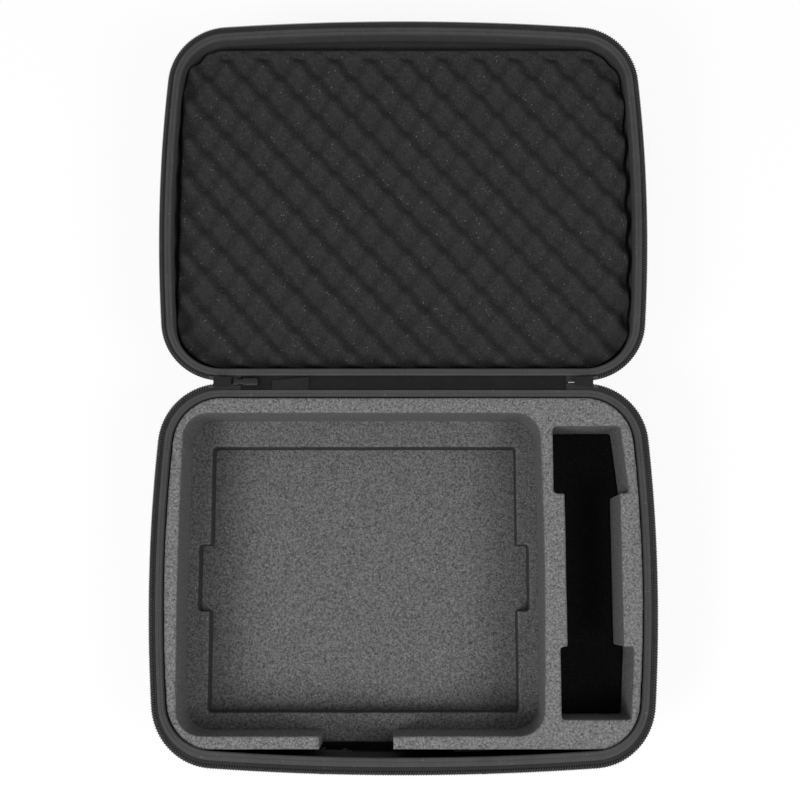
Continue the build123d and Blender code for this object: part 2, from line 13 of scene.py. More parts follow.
import bmesh
import bpy
import numpy as np
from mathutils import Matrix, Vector

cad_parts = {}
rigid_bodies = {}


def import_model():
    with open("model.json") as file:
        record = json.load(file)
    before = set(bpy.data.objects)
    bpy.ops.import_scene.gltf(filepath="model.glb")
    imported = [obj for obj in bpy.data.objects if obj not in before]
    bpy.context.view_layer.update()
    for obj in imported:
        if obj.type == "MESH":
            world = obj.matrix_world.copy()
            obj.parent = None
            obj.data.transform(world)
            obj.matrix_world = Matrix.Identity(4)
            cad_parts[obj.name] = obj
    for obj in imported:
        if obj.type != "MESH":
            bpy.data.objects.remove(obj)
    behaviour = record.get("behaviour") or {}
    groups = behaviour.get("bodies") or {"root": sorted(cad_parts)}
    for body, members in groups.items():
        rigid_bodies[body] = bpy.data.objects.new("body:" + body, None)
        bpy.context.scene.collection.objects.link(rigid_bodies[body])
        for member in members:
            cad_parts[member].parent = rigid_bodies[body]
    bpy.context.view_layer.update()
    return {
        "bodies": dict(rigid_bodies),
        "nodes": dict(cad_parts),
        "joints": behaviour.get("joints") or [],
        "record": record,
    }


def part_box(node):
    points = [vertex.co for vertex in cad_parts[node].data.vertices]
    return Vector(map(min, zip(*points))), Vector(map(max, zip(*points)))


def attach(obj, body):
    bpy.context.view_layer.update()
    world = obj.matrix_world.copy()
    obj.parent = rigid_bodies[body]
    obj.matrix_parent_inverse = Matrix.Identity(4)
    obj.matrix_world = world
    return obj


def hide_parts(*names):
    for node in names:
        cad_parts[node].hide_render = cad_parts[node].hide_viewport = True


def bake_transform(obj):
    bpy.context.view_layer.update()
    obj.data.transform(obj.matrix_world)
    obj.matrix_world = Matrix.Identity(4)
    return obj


LOG = logging.getLogger("hard_case")
MM = 0.001
HASH_PRIMES = np.array([73856093, 19349663, 83492791])
Piece = bpy.types.Object
Socket = bpy.types.NodeSocket
Source = "Socket | float | tuple"


class Wiring:
    """Adds nodes to one node tree and joins them."""

    def __init__(self, tree: bpy.types.NodeTree) -> None:
        """Start on an empty tree.

        Args:
            tree: The tree that receives the nodes.
        """
        self.tree = tree
        self.tree.nodes.clear()

    def node(self, kind: str, inputs: dict | None = None, **settings: object) -> bpy.types.Node:
        """Add one node.

        Args:
            kind: The node's type name in Blender.
            inputs: Values or sockets for the node's inputs, by name or index.
            **settings: Properties of the node.

        Returns:
            The new node.
        """
        node = self.tree.nodes.new(kind)
        for key, value in settings.items():
            setattr(node, key, value)
        for key, value in (inputs or {}).items():
            self.feed(node.inputs[key], value)
        return node

    def feed(self, socket: Socket, value: Source) -> None:
        """Link a socket to an input, or set the input's own value.

        Args:
            socket: The input.
            value: A socket, a number, or a colour or vector.
        """
        if isinstance(value, Socket):
            self.tree.links.new(value, socket)
        else:
            socket.default_value = value

    def math(self, operation: str, *operands: Source, clamp: bool = False) -> Socket:
        """Add a Math node, clamped to 0 and 1 if asked, and return its result's socket."""
        inputs = dict(enumerate(operands))
        return self.node("ShaderNodeMath", inputs, operation=operation, use_clamp=clamp).outputs[0]

    def times(self, *factors: Source, clamp: bool = False) -> Socket:
        """Multiply two values and return the product's socket."""
        return self.math("MULTIPLY", *factors, clamp=clamp)

    def vector(self, operation: str, *operands: Source) -> Socket:
        """Add a Vector Math node and return its result's socket."""
        return self.node("ShaderNodeVectorMath", dict(enumerate(operands)), operation=operation).outputs[0]

    def split(self, vector: Source) -> tuple:
        """Take a vector apart and return its three sockets."""
        outputs = self.node("ShaderNodeSeparateXYZ", {0: vector}).outputs
        return outputs[0], outputs[1], outputs[2]

    def remap(self, value: Source, low: float, high: float, to_low: float, to_high: float) -> Socket:
        """Map the range from low to high onto that from to_low to to_high, clamped."""
        inputs = {0: value, 1: low, 2: high, 3: to_low, 4: to_high}
        return self.node("ShaderNodeMapRange", inputs, clamp=True).outputs[0]

    def noise(self, vector: Source, scale: Source, detail: float = 2.0, rough: float = 0.5) -> Socket:
        """Add a Noise texture with a scale in cells to the metre and return its value, from 0 to 1."""
        inputs = {"Vector": vector, "Scale": scale, "Detail": detail, "Roughness": rough}
        return self.node("ShaderNodeTexNoise", inputs).outputs["Fac"]

    def blend(self, factor: Source, low: Source, high: Source) -> Socket:
        """Mix two colours and return the mixed colour's socket."""
        node = self.node("ShaderNodeMix", data_type="RGBA")
        self.feed(node.inputs["Factor"], factor)
        self.feed(node.inputs[6], low)
        self.feed(node.inputs[7], high)
        return node.outputs[2]


class Effect(Enum):
    """Shared surface effects, each a node group that is built once."""

    GRAIN = "Open cell grain"
    SPECKS = "Lint specks"
    KNIFE = "Knife marks"
    THREADS = "Crossed threads"
    WRAPPED = "Cloth wrapped round a form"
    DRIFT = "Tone drift"


class Effects:
    """Builds the shared node groups and places them in materials."""

    @staticmethod
    def group(effect: Effect, inputs: list, outputs: list) -> tuple:
        """Make an empty node group with its sockets.

        Args:
            effect: Which effect it is for.
            inputs: Pairs of a socket's name and its type's short name.
            outputs: Names of the float outputs.

        Returns:
            The wiring, the group's input sockets by name, and its output node.
        """
        tree = bpy.data.node_groups.new(effect.value, "ShaderNodeTree")
        for name, kind in inputs:
            tree.interface.new_socket(name, in_out="INPUT", socket_type="NodeSocket" + kind)
        for name in outputs:
            tree.interface.new_socket(name, in_out="OUTPUT", socket_type="NodeSocketFloat")
        wiring = Wiring(tree)
        start = wiring.node("NodeGroupInput").outputs
        end = wiring.node("NodeGroupOutput")
        return wiring, start, end

    @classmethod
    def get(cls, effect: Effect) -> bpy.types.NodeTree:
        """Return the effect's node group, built at its first use."""
        found = bpy.data.node_groups.get(effect.value)
        return found or getattr(cls, "make_" + effect.name.lower())()

    @classmethod
    def place(cls, wiring: Wiring, effect: Effect, **inputs: Source) -> dict:
        """Put an effect into a material.

        Args:
            wiring: The material's wiring.
            effect: Which effect.
            **inputs: Values or sockets for the group's inputs.

        Returns:
            The group node's outputs by name.
        """
        node = wiring.node("ShaderNodeGroup", node_tree=cls.get(effect))
        for key, value in inputs.items():
            wiring.feed(node.inputs[key], value)
        return node.outputs

    @classmethod
    def make_grain(cls) -> bpy.types.NodeTree:
        """Build the fine mottled surface of open cell foam."""
        wiring, start, end = cls.group(
            Effect.GRAIN, [("Vector", "Vector"), ("Cells", "Float")], ["Mottle", "Pores", "Height"]
        )
        coarse = wiring.noise(start["Vector"], wiring.times(start["Cells"], 0.55), 3.0, 0.72)
        fine = wiring.noise(start["Vector"], wiring.times(start["Cells"], 1.5), 1.0, 0.5)
        both = wiring.math("ADD", wiring.times(coarse, 0.62), wiring.times(fine, 0.38))
        mottle = wiring.remap(both, 0.36, 0.64, 0.0, 1.0)
        cells = wiring.node("ShaderNodeTexVoronoi", {"Vector": start["Vector"], "Scale": start["Cells"]})
        pores = wiring.remap(cells.outputs["Distance"], 0.05, 0.45, 1.0, 0.0)
        wiring.feed(end.inputs["Mottle"], mottle)
        wiring.feed(end.inputs["Pores"], pores)
        wiring.feed(end.inputs["Height"], wiring.math("SUBTRACT", both, wiring.times(pores, 0.35)))
        return wiring.tree

    @classmethod
    def make_specks(cls) -> bpy.types.NodeTree:
        """Build sparse pale specks: lint, and painted glints of cell walls."""
        wiring, start, end = cls.group(
            Effect.SPECKS, [("Vector", "Vector"), ("Cells", "Float"), ("Share", "Float")], ["Mask"]
        )
        cells = wiring.node("ShaderNodeTexVoronoi", {"Vector": start["Vector"], "Scale": start["Cells"]})
        chosen = wiring.node("ShaderNodeSeparateColor", {0: cells.outputs["Color"]}).outputs
        dot = wiring.remap(cells.outputs["Distance"], 0.12, 0.30, 1.0, 0.0)
        kept = wiring.math("LESS_THAN", chosen[0], start["Share"])
        strength = wiring.times(kept, wiring.math("ADD", chosen[1], 0.25))
        wiring.feed(end.inputs["Mask"], wiring.times(dot, strength, clamp=True))
        return wiring.tree

    @classmethod
    def make_knife(cls) -> bpy.types.NodeTree:
        """Build the level lines that a band knife leaves on a cut foam wall, and the wall mask that also
        places painted wall shade.
        """
        wiring, start, end = cls.group(
            Effect.KNIFE, [("Vector", "Vector"), ("Normal", "Vector")], ["Mask", "Lines"]
        )
        along = wiring.vector("MULTIPLY", start["Vector"], (9.0, 9.0, 420.0))
        lines = wiring.noise(along, 1.0, 3.0, 0.6)
        upright = wiring.math("ABSOLUTE", wiring.split(start["Normal"])[2])
        wiring.feed(end.inputs["Mask"], wiring.remap(upright, 0.35, 0.8, 1.0, 0.0))
        wiring.feed(end.inputs["Lines"], wiring.remap(lines, 0.3, 0.7, 0.0, 1.0))
        return wiring.tree

    @classmethod
    def make_threads(cls) -> bpy.types.NodeTree:
        """Build a plain weave in the first two coordinates, with threads one unit apart."""
        wiring, start, end = cls.group(Effect.THREADS, [("Across", "Float"), ("Along", "Float")], ["Height"])
        waves = [
            wiring.math("SINE", wiring.times(start[name], math.pi)) for name in ("Across", "Along")
        ]
        warp, weft = [wiring.math("ABSOLUTE", wave) for wave in waves]
        over = wiring.math("GREATER_THAN", wiring.times(*waves), 0.0)
        warp_high = wiring.times(warp, wiring.math("MULTIPLY_ADD", weft, 0.45, 0.55))
        weft_high = wiring.times(weft, wiring.math("MULTIPLY_ADD", warp, 0.45, 0.55))
        upper = wiring.times(over, warp_high)
        lower = wiring.times(wiring.math("SUBTRACT", 1.0, over), weft_high)
        wiring.feed(end.inputs["Height"], wiring.math("ADD", upper, lower))
        return wiring.tree

    @classmethod
    def make_wrapped(cls) -> bpy.types.NodeTree:
        """Build a weave that follows each side of a form, chosen by the surface's direction."""
        wiring, start, end = cls.group(
            Effect.WRAPPED, [("Vector", "Vector"), ("Normal", "Vector"), ("Threads", "Float")], ["Height"]
        )
        x, y, z = [wiring.times(part, start["Threads"]) for part in wiring.split(start["Vector"])]
        parts = [wiring.math("ABSOLUTE", part) for part in wiring.split(start["Normal"])]
        total = wiring.math("ADD", wiring.math("ADD", parts[0], parts[1]), parts[2])
        height = 0.0
        for across, along, part in ((y, z, parts[0]), (x, z, parts[1]), (x, y, parts[2])):
            weave = cls.place(wiring, Effect.THREADS, Across=across, Along=along)["Height"]
            share = wiring.math("DIVIDE", part, total)
            height = wiring.math("ADD", wiring.times(weave, share), height)
        wiring.feed(end.inputs["Height"], height)
        return wiring.tree

    @classmethod
    def make_drift(cls) -> bpy.types.NodeTree:
        """Build slow changes of tone: handling marks, dust and uneven dye."""
        wiring, start, end = cls.group(Effect.DRIFT, [("Vector", "Vector"), ("Cells", "Float")], ["Tone"])
        slow = wiring.noise(start["Vector"], start["Cells"], 4.0, 0.6)
        wiring.feed(end.inputs["Tone"], wiring.remap(slow, 0.3, 0.7, 0.0, 1.0))
        return wiring.tree


@dataclass
class Bench:
    """What a material is made on: its wiring, its Principled shader and its place on the piece."""

    wiring: Wiring
    shader: bpy.types.Node
    place: bpy.types.Node


@dataclass(frozen=True)
class Finish:
    """What every finish has: a tone, a gloss and a bump."""

    name: str
    tone: float
    roughness: float = 0.8
    contrast: float = 0.2
    bump: float = 0.2 * MM
    specular: float = 0.35

    def material(self) -> bpy.types.Material:
        """Build the material, or return it if it is there already."""
        name = self.name + "_finish"
        found = bpy.data.materials.get(name)
        if found:
            return found
        material = bpy.data.materials.new(name)
        material.use_nodes = True
        wiring = Wiring(material.node_tree)
        place = wiring.node("ShaderNodeTexCoord")
        gloss = {"Roughness": self.roughness, "Specular IOR Level": self.specular}
        shader = wiring.node("ShaderNodeBsdfPrincipled", gloss)
        wiring.node("ShaderNodeOutputMaterial", {"Surface": shader.outputs[0]})
        self.dress(Bench(wiring, shader, place))
        material.diffuse_color = self.grey(1.0)
        return material

    def grey(self, share: float) -> tuple:
        """The finish's own grey at a share of its tone."""
        value = max(0.0, self.tone * share)
        return (value, value, value, 1.0)

    def tones(self, wiring: Wiring, share: Source) -> Socket:
        """Blend from the finish's darkest grey to its palest and return the colour's socket."""
        return wiring.blend(share, self.grey(1 - self.contrast), self.grey(1 + self.contrast))

    def relief(self, bench: Bench, height: Source, strength: float) -> None:
        """Raise the surface by a height from 0 to 1."""
        inputs = {"Strength": strength, "Distance": self.bump, "Height": height}
        bump = bench.wiring.node("ShaderNodeBump", inputs)
        bench.wiring.feed(bench.shader.inputs["Normal"], bump.outputs[0])

    def dress(self, bench: Bench) -> None:
        """Give the shader its colour, gloss and relief.

        Args:
            bench: What the material is made on.
        """
        wiring, at = bench.wiring, bench.place.outputs["Object"]
        drift = Effects.place(wiring, Effect.DRIFT, Vector=at, Cells=40.0)["Tone"]
        wiring.feed(bench.shader.inputs["Base Color"], self.tones(wiring, drift))


@dataclass(frozen=True)
class FoamFinish(Finish):
    """Open cell foam: mottled grain, pores, pale specks of lint and painted glint, knife marks on its walls,
    and painted shade on its walls when wall is below 1.
    """

    cells: float = 900.0
    speck_cells: float = 260.0
    speck_share: float = 0.12
    speck_tone: float = 0.3
    knife: float = 0.0
    # Share of the foam's tone kept on its upright walls; below 1 paints shade on them.
    wall: float = 1.0

    def dress(self, bench: Bench) -> None:
        """Give the foam its grain, and paint shade on its walls when wall is below 1.

        Args:
            bench: What the material is made on.
        """
        wiring, at = bench.wiring, bench.place.outputs["Object"]
        grain = Effects.place(wiring, Effect.GRAIN, Vector=at, Cells=self.cells)
        colour = self.tones(wiring, grain["Mottle"])
        colour = wiring.blend(wiring.times(grain["Pores"], 0.35), colour, self.grey(0.35))
        height = grain["Height"]
        if self.knife > 0:
            marks = Effects.place(wiring, Effect.KNIFE, Vector=at, Normal=bench.place.outputs["Normal"])
            lines = wiring.times(marks["Mask"], wiring.math("SUBTRACT", 1.0, marks["Lines"]))
            colour = wiring.blend(wiring.times(lines, self.knife), colour, self.grey(0.55))
            # Painted shade: the upright walls are darkened towards a tenth of the tone, by 1 - wall.
            shaded = wiring.times(marks["Mask"], 1 - self.wall)
            colour = wiring.blend(shaded, colour, self.grey(0.1))
            height = wiring.math("ADD", height, wiring.times(lines, -0.8))
        # Pale specks: lint, and painted glints of cell walls.
        specks = Effects.place(
            wiring, Effect.SPECKS, Vector=at, Cells=self.speck_cells, Share=self.speck_share
        )["Mask"]
        pale = (self.speck_tone, self.speck_tone, self.speck_tone, 1.0)
        wiring.feed(bench.shader.inputs["Base Color"], wiring.blend(specks, colour, pale))
        self.relief(bench, height, 0.7)


class Weave(Enum):
    """How a cloth's threads lie."""

    WRAPPED = "round the form"
    RIBBED = "ribs across a tape"
    TAPE = "crossed threads along a tape"


@dataclass(frozen=True)
class ClothFinish(Finish):
    """Woven cloth or tape. A tape's threads follow its own length and width."""

    weave: Weave = Weave.WRAPPED
    pitch: float = 0.8 * MM
    lint: float = 0.06
    drift: float = 0.25

    def dress(self, bench: Bench) -> None:
        """Give the cloth its threads.

        Args:
            bench: What the material is made on.
        """
        wiring, at = bench.wiring, bench.place.outputs["Object"]
        threads = 1 / self.pitch
        if self.weave is Weave.WRAPPED:
            height = Effects.place(
                wiring, Effect.WRAPPED, Vector=at, Normal=bench.place.outputs["Normal"], Threads=threads
            )["Height"]
        else:
            tape = wiring.node("ShaderNodeUVMap", uv_map=TAPE_MAP).outputs[0]
            along, across, _ = wiring.split(tape)
            along = wiring.times(along, threads)
            across = wiring.times(across, threads)
            if self.weave is Weave.RIBBED:
                height = wiring.math("ABSOLUTE", wiring.math("SINE", wiring.times(along, math.pi)))
            else:
                height = Effects.place(wiring, Effect.THREADS, Across=across, Along=along)["Height"]
        drift = Effects.place(wiring, Effect.DRIFT, Vector=at, Cells=55.0)["Tone"]
        tone = wiring.math("MULTIPLY_ADD", height, 1 - self.drift, wiring.times(drift, self.drift))
        lint = Effects.place(wiring, Effect.SPECKS, Vector=at, Cells=420.0, Share=self.lint)["Mask"]
        colour = wiring.blend(lint, self.tones(wiring, tone), self.grey(3.0))
        wiring.feed(bench.shader.inputs["Base Color"], colour)
        self.relief(bench, height, 0.8)


@dataclass(frozen=True)
class MouldedFinish(Finish):
    """Moulded plastic, rubber or painted metal with a fine texture and rubbed patches."""

    texture_cells: float = 1400.0
    rub: float = 0.15

    def dress(self, bench: Bench) -> None:
        """Give the moulding its texture and uneven gloss.

        Args:
            bench: What the material is made on.
        """
        wiring, at = bench.wiring, bench.place.outputs["Object"]
        grain = Effects.place(wiring, Effect.GRAIN, Vector=at, Cells=self.texture_cells)
        drift = Effects.place(wiring, Effect.DRIFT, Vector=at, Cells=120.0)["Tone"]
        wiring.feed(bench.shader.inputs["Base Color"], self.tones(wiring, drift))
        gloss = wiring.math("MULTIPLY_ADD", drift, -self.rub, self.roughness + self.rub / 2)
        wiring.feed(bench.shader.inputs["Roughness"], gloss)
        self.relief(bench, grain["Height"], 0.4)


TAPE_MAP = "tape_length_and_width"

BLOCK_FOAM = FoamFinish("", 0.0, 0.95, 0.7, 0.4 * MM, specular=0.12, cells=850.0, speck_share=0.1)
CUT_FOAM = replace(
    BLOCK_FOAM, name="cut_foam", tone=0.165, speck_cells=520.0, speck_tone=0.4, knife=0.5
)
# Painted shade: the ledge and floor foams are darker copies of the cut foam, for the recess they lie in; the
# ledge's walls also get painted shade (wall=0.4).
SHADED_LEDGE_FOAM = replace(CUT_FOAM, name="ledge_foam", tone=0.122, wall=0.4)
SHADED_FLOOR_FOAM = replace(CUT_FOAM, name="floor_foam", tone=0.13)
# Painted shadow: the pocket pad's near-black tone stands in for the shade on the pocket's floor.
POCKET_SHADOW_FOAM = FoamFinish(
    "pocket_foam", 0.006, 1.0, 0.5, 0.3 * MM, specular=0.05, speck_tone=0.02, speck_share=0.03
)
CRATE_FOAM = replace(
    BLOCK_FOAM, name="crate_foam", tone=0.031, contrast=0.45, speck_cells=480.0, speck_tone=0.2
)
SHELL_CLOTH = ClothFinish("shell_cloth", 0.016, 0.7, 0.45, 0.12 * MM, specular=0.2, pitch=0.9 * MM)
LINING_CLOTH = ClothFinish("lining_cloth", 0.045, 0.85, 0.35, 0.08 * MM, specular=0.12, pitch=0.6 * MM)
BINDING_TAPE = ClothFinish(
    "binding_tape", 0.055, 0.8, 0.4, 0.10 * MM, specular=0.15, weave=Weave.RIBBED, pitch=1.5 * MM
)
ZIP_TAPE = ClothFinish(
    "zip_tape", 0.028, 0.85, 0.45, 0.10 * MM, specular=0.12, weave=Weave.TAPE, pitch=0.7 * MM
)
HINGE_WEBBING = ClothFinish(
    "hinge_webbing", 0.014, 0.8, 0.4, 0.12 * MM, specular=0.12, weave=Weave.TAPE, pitch=0.9 * MM
)
HINGE_LINING = ClothFinish(
    "hinge_lining", 0.012, 0.85, 0.5, 0.08 * MM, specular=0.1, weave=Weave.TAPE, pitch=0.6 * MM
)
TAB_CLOTH = ClothFinish(
    "tab_cloth", 0.012, 0.75, 0.4, 0.06 * MM, specular=0.15, weave=Weave.TAPE, pitch=0.45 * MM
)
THREAD = Finish("sewing_thread", 0.055, 0.6, 0.3, 0.05 * MM, specular=0.2)
COIL_NYLON = MouldedFinish("coil_nylon", 0.036, 0.42, 0.25, 0.02 * MM, specular=0.4)
PULL_CORD = ClothFinish("pull_cord", 0.012, 0.75, 0.4, 0.1 * MM, specular=0.2, pitch=0.6 * MM)
PULL_RUBBER = MouldedFinish("pull_rubber", 0.008, 0.38, 0.2, 0.03 * MM, specular=0.25)
SLIDER_PAINT = MouldedFinish("slider_paint", 0.006, 0.42, 0.3, 0.02 * MM, specular=0.18, rub=0.2)
ANCHOR_PLASTIC = MouldedFinish("anchor_plastic", 0.02, 0.5, 0.2, 0.06 * MM, specular=0.4)
PIN_PAINT = MouldedFinish("pin_paint", 0.018, 0.35, 0.3, 0.02 * MM, specular=0.5)
GRIP_RUBBER = MouldedFinish(
    "grip_rubber", 0.024, 0.65, 0.2, 0.08 * MM, specular=0.3, texture_cells=1000.0
)


def coat(piece: Piece, finish: Finish) -> None:
    """Give a piece one finish all over."""
    piece.data.materials.clear()
    piece.data.materials.append(finish.material())


def fit(
    piece: Piece, finish: Finish, body: str = "", node: str = ""
) -> Piece:
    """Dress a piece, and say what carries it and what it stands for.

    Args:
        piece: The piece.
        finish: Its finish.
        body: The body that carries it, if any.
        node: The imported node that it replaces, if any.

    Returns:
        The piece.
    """
    coat(piece, finish)
    if body:
        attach(piece, body)
    if node:
        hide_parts(node)
    return piece


def new_piece(name: str, points: np.ndarray, faces: list, smooth: bool = True) -> Piece:
    """Make a mesh object.

    Args:
        name: The piece's name.
        points: Its corners in metres.
        faces: Its faces as tuples of corner numbers.
        smooth: Whether it is shaded smooth.

    Returns:
        The object, linked to the scene.
    """
    mesh = bpy.data.meshes.new(name)
    mesh.from_pydata([tuple(point) for point in points], [], faces)
    mesh.update()
    mesh.polygons.foreach_set("use_smooth", [smooth] * len(faces))
    piece = bpy.data.objects.new(name, mesh)
    bpy.context.scene.collection.objects.link(piece)
    return piece


def value_noise(points: np.ndarray, size: float, seed: int) -> np.ndarray:
    """Smooth noise at points.

    Args:
        points: Places in metres, one row each.
        size: Distance over which the noise changes.
        seed: Which noise.

    Returns:
        A value from -1 to 1 for each point.
    """
    table = np.random.default_rng(seed).uniform(-1, 1, 4096)
    scaled = points / size
    cell = np.floor(scaled).astype(np.int64)
    part = scaled - cell
    part = part * part * (3 - 2 * part)
    total = np.zeros(len(points))
    for corner in range(8):
        step = np.array([corner & 1, corner >> 1 & 1, corner >> 2 & 1])
        pick = np.bitwise_xor.reduce((cell + step) * HASH_PRIMES, axis=1) % len(table)
        weight = np.prod(np.where(step, part, 1 - part), axis=1)
        total += weight * table[pick]
    return total


def loop_faces(rows: int, columns: int, closed_rows: bool, closed_columns: bool, start: int = 0) -> list:
    """Quads that join a grid of points.

    Args:
        rows: Rows of the grid.
        columns: Points in a row.
        closed_rows: Whether the last row joins the first.
        closed_columns: Whether each row's last point joins its first.
        start: Number of the grid's first point.

    Returns:
        The faces.
    """
    faces = []
    for row in range(rows if closed_rows else rows - 1):
        here = start + row * columns
        there = start + (row + 1) % rows * columns
        for column in range(columns if closed_columns else columns - 1):
            after = (column + 1) % columns
            faces.append((here + column, there + column, there + after, here + after))
    return faces


def slab_faces(rows: int, columns: int) -> list:
    """Close a slab: an upper grid of points, then a lower one, joined round their rim.

    Args:
        rows: Rows of each grid.
        columns: Points in a row.

    Returns:
        The faces.
    """
    size = rows * columns
    faces = [face[::-1] for face in loop_faces(rows, columns, False, False)]
    faces += loop_faces(rows, columns, False, False, size)
    rim = list(range(columns))
    rim += [row * columns + columns - 1 for row in range(1, rows)]
    rim += [(rows - 1) * columns + column for column in range(columns - 2, -1, -1)]
    rim += [row * columns for row in range(rows - 2, 0, -1)]
    faces += [(here, size + here, size + there, there) for here, there in zip(rim, rim[1:] + rim[:1])]
    return faces


def scatter(name: str, template: np.ndarray, one: list, centres: np.ndarray, ways: list) -> Piece:
    """Repeat a small mesh at many places.

    Args:
        name: The piece's name.
        template: The small mesh's corners.
        one: Its faces.
        centres: The places.
        ways: Unit vectors at each place, for the small mesh's own three directions.

    Returns:
        All the copies as one object.
    """
    points = np.repeat(centres[:, None, :], len(template), axis=1)
    for axis, way in enumerate(ways):
        points += template[None, :, axis : axis + 1] * way[:, None, :]
    size = len(template)
    faces = [tuple(corner + copy * size for corner in face) for copy in range(len(centres)) for face in one]
    return new_piece(name, points.reshape(-1, 3), faces)


def set_tape_map(piece: Piece, along: np.ndarray, across: np.ndarray) -> None:
    """Store each corner's place along and across a tape, for its weave.

    Args:
        piece: The tape.
        along: Each corner's distance along the tape in metres.
        across: Each corner's distance across it.
    """
    layer = piece.data.uv_layers.new(name=TAPE_MAP)
    corners = np.zeros(len(piece.data.loops), dtype=np.int64)
    piece.data.loops.foreach_get("vertex_index", corners)
    layer.data.foreach_set("uv", np.column_stack([along[corners], across[corners]]).ravel())


@dataclass
class Outline:
    """Stations along a case half's rim, evenly spaced, seen from above."""

    points: np.ndarray
    normals: np.ndarray
    distance: np.ndarray


@dataclass
class CasePlan:
    """The rim's plan: a straight hinge side, three bowed sides and round corners."""

    half_width: float
    half_length: float
    side_bow: float = 9 * MM
    front_bow: float = 9 * MM
    corner_radius: float = 50 * MM

    def pieces(self) -> list:
        """Return the plan's right half from the hinge side's middle to the front's middle.

        Returns:
            Arcs as (centre, radius, start angle, end angle) and the line as (start, end).
        """
        back = self.half_length
        front = self.half_length - self.front_bow
        corner_x = self.half_width - self.side_bow
        radius = self.corner_radius
        side_radius = (back + front) ** 2 / (8 * self.side_bow) + self.side_bow / 2
        side_centre = np.array([self.half_width - side_radius, (back - front) / 2])
        front_radius = corner_x**2 / (2 * self.front_bow) + self.front_bow / 2
        front_centre = np.array([0.0, front_radius - self.half_length])
        back_y = back - radius
        reach = side_radius - radius
        back_centre = np.array(
            [side_centre[0] + math.sqrt(reach**2 - (back_y - side_centre[1]) ** 2), back_y]
        )
        corner = self.crossing(side_centre, reach, front_centre, front_radius - radius)
        side_start = self.angle(back_centre - side_centre)
        side_end = self.angle(corner - side_centre)
        front_start = self.angle(corner - front_centre)
        return [
            (np.array([0.0, back]), np.array([back_centre[0], back])),
            (back_centre, radius, math.pi / 2, side_start),
            (side_centre, side_radius, side_start, side_end),
            (corner, radius, side_end, front_start),
            (front_centre, front_radius, front_start, -math.pi / 2),
        ]

    @staticmethod
    def angle(vector: np.ndarray) -> float:
        """Angle of a vector from +X."""
        return math.atan2(vector[1], vector[0])

    @staticmethod
    def crossing(
        first: np.ndarray, first_radius: float, second: np.ndarray, second_radius: float
    ) -> np.ndarray:
        """Where two circles cross, at the lower right.

        Args:
            first: Centre of the first circle.
            first_radius: Its radius.
            second: Centre of the second circle.
            second_radius: Its radius.

        Returns:
            The crossing point.
        """
        between = second - first
        gap = float(np.hypot(*between))
        along = (gap**2 + first_radius**2 - second_radius**2) / (2 * gap)
        aside = math.sqrt(first_radius**2 - along**2)
        unit = between / gap
        choices = [
            first + unit * along + np.array([-unit[1], unit[0]]) * aside * sign for sign in (-1, 1)
        ]
        return max(choices, key=lambda point: point[0] - point[1])

    def outline(self, spacing: float) -> Outline:
        """Place stations round the rim, starting at the hinge side's middle and going clockwise.

        Args:
            spacing: About how far apart they are.

        Returns:
            The stations.
        """
        parts = self.pieces()
        lengths = [
            float(np.hypot(*(part[1] - part[0]))) if len(part) == 2 else part[1] * abs(part[3] - part[2])
            for part in parts
        ]
        half = sum(lengths)
        count = 2 * max(8, round(half / spacing))
        distance = np.arange(count) * (2 * half / count)
        points = np.zeros((count, 2))
        normals = np.zeros((count, 2))
        for number, at in enumerate(distance):
            mirrored = at > half
            left = 2 * half - at if mirrored else at
            for part, length in zip(parts, lengths):
                if left <= length + 1e-12:
                    break
                left -= length
            if len(part) == 2:
                point = part[0] + (part[1] - part[0]) * left / length
                normal = np.array([0.0, 1.0])
            else:
                turn = part[2] + (part[3] - part[2]) * left / length
                normal = np.array([math.cos(turn), math.sin(turn)])
                point = part[0] + part[1] * normal
            flip = np.array([-1.0, 1.0]) if mirrored else np.array([1.0, 1.0])
            points[number] = point * flip
            normals[number] = normal * flip
        return Outline(points, normals, distance)


class Half(Enum):
    """The two halves of the case. The lid is the base turned half round about the hinge line."""

    BASE = "base"
    LID = "lid"


@dataclass
class Sizes:
    """Places that more than one sub-assembly needs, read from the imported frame."""

    plan: CasePlan
    rim_z: float
    hinge_y: float
    hinge_z: float
    shell_wall: float = 3.5 * MM
    lining: float = 0.8 * MM
    zip_start: float = 172 * MM

    @classmethod
    def from_frame(cls, frame: dict) -> "Sizes":
        """Read the sizes.


        Returns:
            The sizes in metres.
        """
        _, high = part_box("base_shell")
        hinge = next(joint for joint in frame["joints"] if joint["name"] == "lid_hinge")
        return cls(CasePlan(high.x, high.y), high.z, hinge["pos_m"][1], hinge["pos_m"][2])

    def place(self, half: Half, points: np.ndarray) -> np.ndarray:
        """Move points from the base's rim to a half's rim.

        Args:
            half: Which half.
            points: Rows of x, y and z.

        Returns:
            The points, turned for the lid.
        """
        if half is Half.BASE:
            return points
        return self.turn(half, points) + np.array([0.0, 2 * self.hinge_y, 0.0])

    @staticmethod
    def turn(half: Half, vectors: np.ndarray) -> np.ndarray:
        """Turn vectors half round about the upright for the lid."""
        return vectors if half is Half.BASE else vectors * np.array([-1.0, -1.0, 1.0])

    def stations_from(self, outline: Outline, start: float) -> np.ndarray:
        """Number the stations round the rim, without those nearer the hinge side's middle than start."""
        away = (outline.points[:, 1] < self.plan.half_length - 1e-6) | (
            np.abs(outline.points[:, 0]) >= start
        )
        return np.nonzero(away)[0]


